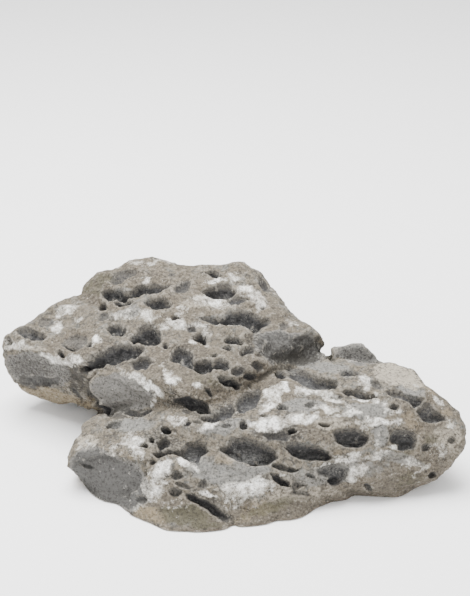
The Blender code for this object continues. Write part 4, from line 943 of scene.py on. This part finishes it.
def colour(code):
    """A six-figure sRGB colour as the linear values that a shader takes."""
    shares = [int(code[n:n + 2], 16) / 255 for n in (0, 2, 4)]
    return tuple(s / 12.92 if s <= 0.04045 else ((s + 0.055) / 1.055) ** 2.4 for s in shares) + (1,)


def add(tree, kind, settings=(), inputs=()):
    """Adds a node, sets its properties, and sets or links its inputs, given by name or number."""
    node = tree.nodes.new(kind)
    for name, value in dict(settings).items():
        setattr(node, name, value)
    for name, value in dict(inputs).items():
        if isinstance(value, bpy.types.NodeSocket):
            tree.links.new(value, node.inputs[name])
        else:
            node.inputs[name].default_value = value
    return node


# What lies over the bare limestone, in the order that it is laid: its colour, the share that places it,
# the noise that breaks its edge and how far, and the sums at which it starts and is full, and how thick it is
LAYERS = (
    ("45423d", "all", "lump", 3.0, 1.62, 2.1, 0.7),
    ("6d6d69", "all", "lump", -3.0, -0.98, -0.6, 0.7),
    ("786f60", "all", "blotch", 3.0, 1.66, 2.15, 0.65),
    ("665e52", "mud", "lump", 1.6, 0.9, 1.4, 0.75),
    # Painted warm bounce light on the undersides
    ("83765f", "tan", "blotch", 1.0, 0.7, 1.1, 0.75),
    ("777672", "smooth_grey", "blotch", 1.2, 0.85, 1.25, 0.85),
    # Pale: partly a paler surface and partly painted highlight
    ("a29a8b", "pale", "blotch", 1.6, 1.05, 1.5, 0.8),
    ("4a453d", "mud", "beds", -3.0, -0.95, -0.5, 0.5),
    ("a9a49a", "all", "grain", -4.0, -1.25, -0.85, 0.3),
    ("716f6b", "broken", "grain", 0.6, 0.35, 0.75, 0.85),
    # The darker tone of the broken faces, on the strongest patches, is partly painted shade
    ("4e4d4b", "broken", "grain", 0.6, 0.95, 1.3, 0.85),
    ("7d705b", "rust", "blotch", 2.0, 1.3, 1.9, 0.5),
    ("494738", "algae", "blotch", 1.6, 0.95, 1.5, 0.7),
    # Painted shade, darkening the shade patches
    ("393734", "shade", "grain", 1.8, 1.0, 1.6, 0.75),
    # Painted shade in creases
    ("403e39", "painted_crease_shade", "grain", 1.2, 0.75, 1.3, 0.6),
    # In the pits: darker grey, partly their own dark stone and partly painted shade, with paler ledges and
    # crumbs on their floors
    ("4f4e4c", "hollow", "blotch", 0.25, 0.155, 0.235, 0.6),
    ("434344", "hollow", "grain", 1.2, 0.85, 1.15, 0.85),
    ("747370", "hollow", "beds", 3.0, 2.2, 2.7, 0.5),
    ("7b7a77", "hollow", "crumb", 4.0, 2.75, 3.1, 0.55),
    # Near black in the pits, most on the rear slab: partly dark stone and partly painted shade
    ("1c1c1d", "stain_and_painted_shade", "blotch", -3.0, -0.9, -0.5, 0.7),
    ("151516", "stain_and_painted_shade", "grain", -3.0, -0.9, -0.5, 0.65),
    # Painted highlight along crests and pit rims
    ("9c968a", "crest", "crumb", 4.0, 2.5, 3.0, 0.35),
    ("a19c91", "all", "crumb", 3.0, 2.3, 2.6, 0.45),
    ("a9a59c", "chalk", "crumb", 3.0, 1.8, 2.0, 0.7),
    ("d0cdc6", "chalk", "crumb", 4.0, 2.6, 2.8, 0.7),
    ("f0efeb", "chalk", "crumb", 4.0, 2.95, 3.15, 0.95),
    ("2a2826", "all", "grain", 4.0, 2.5, 2.9, 0.5),
    ("302e2c", "all", "speck", 4.0, 3.05, 3.3, 0.7),
)
MIX = {"data_type": "RGBA", "clamp_factor": True}
SUM = {"operation": "MULTIPLY_ADD"}


def weathered_limestone():
    """Grey limestone that water has eaten into pits and nothing has polished, so the eye sees no gloss.

    The body is dull and grained, the pits are darkened, partly as their own dark stone and partly as painted
    shade, and mud, rust, algae and chalk lie on it in patches. Painted shade also lies in creases, in patches
    where shade falls and on the darkest broken faces, painted highlight on crests and pale lit tops, and
    painted warm bounce light on the undersides. Their broad layout is in the stone's attributes. Noise in
    millimetres is added to each share, and the layer shows where the sum passes a threshold, which gives it a
    ragged edge, islands and holes.
    """
    material = bpy.data.materials.new("weathered_limestone")
    material.use_nodes = True
    tree = material.node_tree
    shader = tree.nodes["Principled BSDF"]
    place = add(tree, "ShaderNodeTexCoord").outputs["Object"]

    # Lumps of 12 mm, blotches and crumbs of 4 and 5 mm, grain of 1.7 mm and pinholes of 2.4 mm. Real grain
    # and pinholes are under 1 mm: they are drawn coarser, so that the eye still reads a gritty surface
    noises = {
        name: add(tree, "ShaderNodeTexNoise", {}, {
            "Vector": place, "Scale": 1 / (size * MM), "Detail": detail, "Roughness": uneven,
            "Distortion": bent,
        }).outputs["Fac"]
        for name, size, detail, uneven, bent in (
            ("lump", 12, 5, 0.62, 0.3), ("blotch", 4, 4, 0.66, 0.4), ("crumb", 5, 7, 0.85, 0.2),
            ("grain", 1.7, 3, 0.75, 0), ("speck", 2.4, 2, 0.5, 0),
        )
    }
    # The beds are 2 mm thick and dip as the stone's layers do: in the pits the eye reads fine ledges
    laid = add(tree, "ShaderNodeMapping", {}, {
        "Vector": place, "Rotation": (math.radians(8), math.radians(15), 0), "Scale": (0.22, 0.22, 1),
    }).outputs[0]
    noises["beds"] = add(tree, "ShaderNodeTexNoise", {}, {
        "Vector": laid, "Scale": 1 / (1.8 * MM), "Detail": 4, "Roughness": 0.65, "Distortion": 0.4,
    }).outputs["Fac"]

    share = {"all": 0.5}
    body = colour("615d55")
    for code, kind, noise, spread, start, full, thickness in LAYERS:
        if kind not in share:
            share[kind] = add(tree, "ShaderNodeAttribute", {"attribute_name": kind}).outputs["Fac"]
        total = add(tree, "ShaderNodeMath", SUM, {0: noises[noise], 1: spread, 2: share[kind]})
        cover = add(tree, "ShaderNodeMapRange", {"interpolation_type": "SMOOTHSTEP"}, {
            "Value": total.outputs[0], "From Min": start, "From Max": full, "To Max": thickness,
        }).outputs["Result"]
        body = add(tree, "ShaderNodeMix", MIX, {0: cover, 6: body, 7: colour(code)}).outputs[2]
    tree.links.new(body, shader.inputs["Base Color"])
    shader.inputs["Roughness"].default_value = 0.93
    shader.inputs["Specular IOR Level"].default_value = 0.25

    # Height: lumps and grain all over, and the edges of the beds in the pits
    edges = add(tree, "ShaderNodeMath", SUM, {0: noises["beds"], 1: share["hollow"], 2: 0.0}).outputs[0]
    height = 0.0
    for value, amount in (
        (noises["blotch"], 1.0), (noises["grain"], 0.7), (noises["speck"], 0.25), (edges, 2.2),
    ):
        height = add(tree, "ShaderNodeMath", SUM, {0: value, 1: amount, 2: height}).outputs[0]
    bump = add(tree, "ShaderNodeBump", {}, {"Strength": 0.9, "Distance": 1.5 * MM, "Height": height})
    tree.links.new(bump.outputs["Normal"], shader.inputs["Normal"])
    return material


def plain(name, code, roughness):
    """An even paint for what the stone stands on."""
    material = bpy.data.materials.new(name)
    material.use_nodes = True
    shader = material.node_tree.nodes["Principled BSDF"]
    shader.inputs["Base Color"].default_value = colour(code)
    shader.inputs["Roughness"].default_value = roughness
    return material


def mesh_object(name, points, faces):
    """A smooth mesh object of that name, with its points given in metres."""
    mesh = bpy.data.meshes.new(name)
    mesh.from_pydata(points.tolist(), [], faces.tolist())
    mesh.shade_smooth()
    thing = bpy.data.objects.new(name, mesh)
    bpy.context.scene.collection.objects.link(thing)
    return thing


def make_stone(coarse, doublings):
    """The stone at a fine grain, with its weathering as attributes, standing in the box of the solid."""
    points, faces, hollow = stone_surface(coarse, doublings)
    normals = normals_of(points, faces)
    facing = smooth_step(-0.1, 0.15, np.sum(normals * to_the_eye(points), axis=1))
    facing = blurred(facing[:, None], faces, 6)[:, 0]
    kinds = weathering(points, normals, faces, hollow, facing)
    low, high = points.min(axis=0), points.max(axis=0)
    solid_low, solid_high = (np.array(corner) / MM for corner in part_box("stone"))
    shift = (solid_low + solid_high - low - high) / 2
    shift[2] = solid_low[2] - low[2]
    stone = mesh_object("pitted_stone", (points + shift) * MM, faces)
    for kind, share in kinds.items():
        stone.data.attributes.new(kind, "FLOAT", "POINT").data.foreach_set("value", share.astype(np.float32))
    stone.data.materials.append(weathered_limestone())
    return stone, shift


def make_floor():
    """A wide level floor, a little below the stone's foot."""
    half_width = 6.0
    below = 0.0003
    corners = np.array([(-1, -1, 0), (1, -1, 0), (1, 1, 0), (-1, 1, 0)]) * half_width
    floor = mesh_object("floor", corners - (0, 0, below), np.array([[0, 1, 2, 3]]))
    floor.data.materials.append(plain("pale_floor", "ffffff", 1.0))
    return floor


def make_camera(shift):
    """The camera at the eye, with its own axes, so that the columns and rows fall where they are read."""
    camera = bpy.data.objects.new("camera", bpy.data.cameras.new("camera"))
    bpy.context.scene.collection.objects.link(camera)
    camera.data.lens = LENS
    axes = Matrix([ASIDE, UPWARD, -AHEAD]).transposed()
    camera.matrix_world = Matrix.Translation(Vector((EYE + shift) * MM)) @ axes.to_4x4()
    bpy.context.scene.camera = camera


def make_light(name, place, size, power):
    """A soft square lamp with white light at a place, turned towards the middle of the stone."""
    lamp = bpy.data.lights.new(name, "AREA")
    lamp.size, lamp.energy = size, power
    thing = bpy.data.objects.new(name, lamp)
    thing.location = place
    thing.rotation_euler = (Vector((0, 0, 0.04)) - Vector(place)).to_track_quat("-Z", "Y").to_euler()
    bpy.context.scene.collection.objects.link(thing)


def make_sky(strength):
    """An even white surround."""
    world = bpy.data.worlds.new("surround")
    world.use_nodes = True
    world.node_tree.nodes["Background"].inputs["Color"].default_value = (1, 1, 1, 1)
    world.node_tree.nodes["Background"].inputs["Strength"].default_value = strength
    bpy.context.scene.world = world


stone, stone_shift = make_stone(COARSE_STEPS, DOUBLINGS)
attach(stone, "root")
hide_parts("stone")

floor = make_floor()

make_camera(stone_shift)
make_light("overhead softbox", (-0.2, 0.15, 1.3), 1.0, 55)
make_light("front fill", (0.3, -1.4, 0.7), 1.2, 6)
make_sky(1.2)
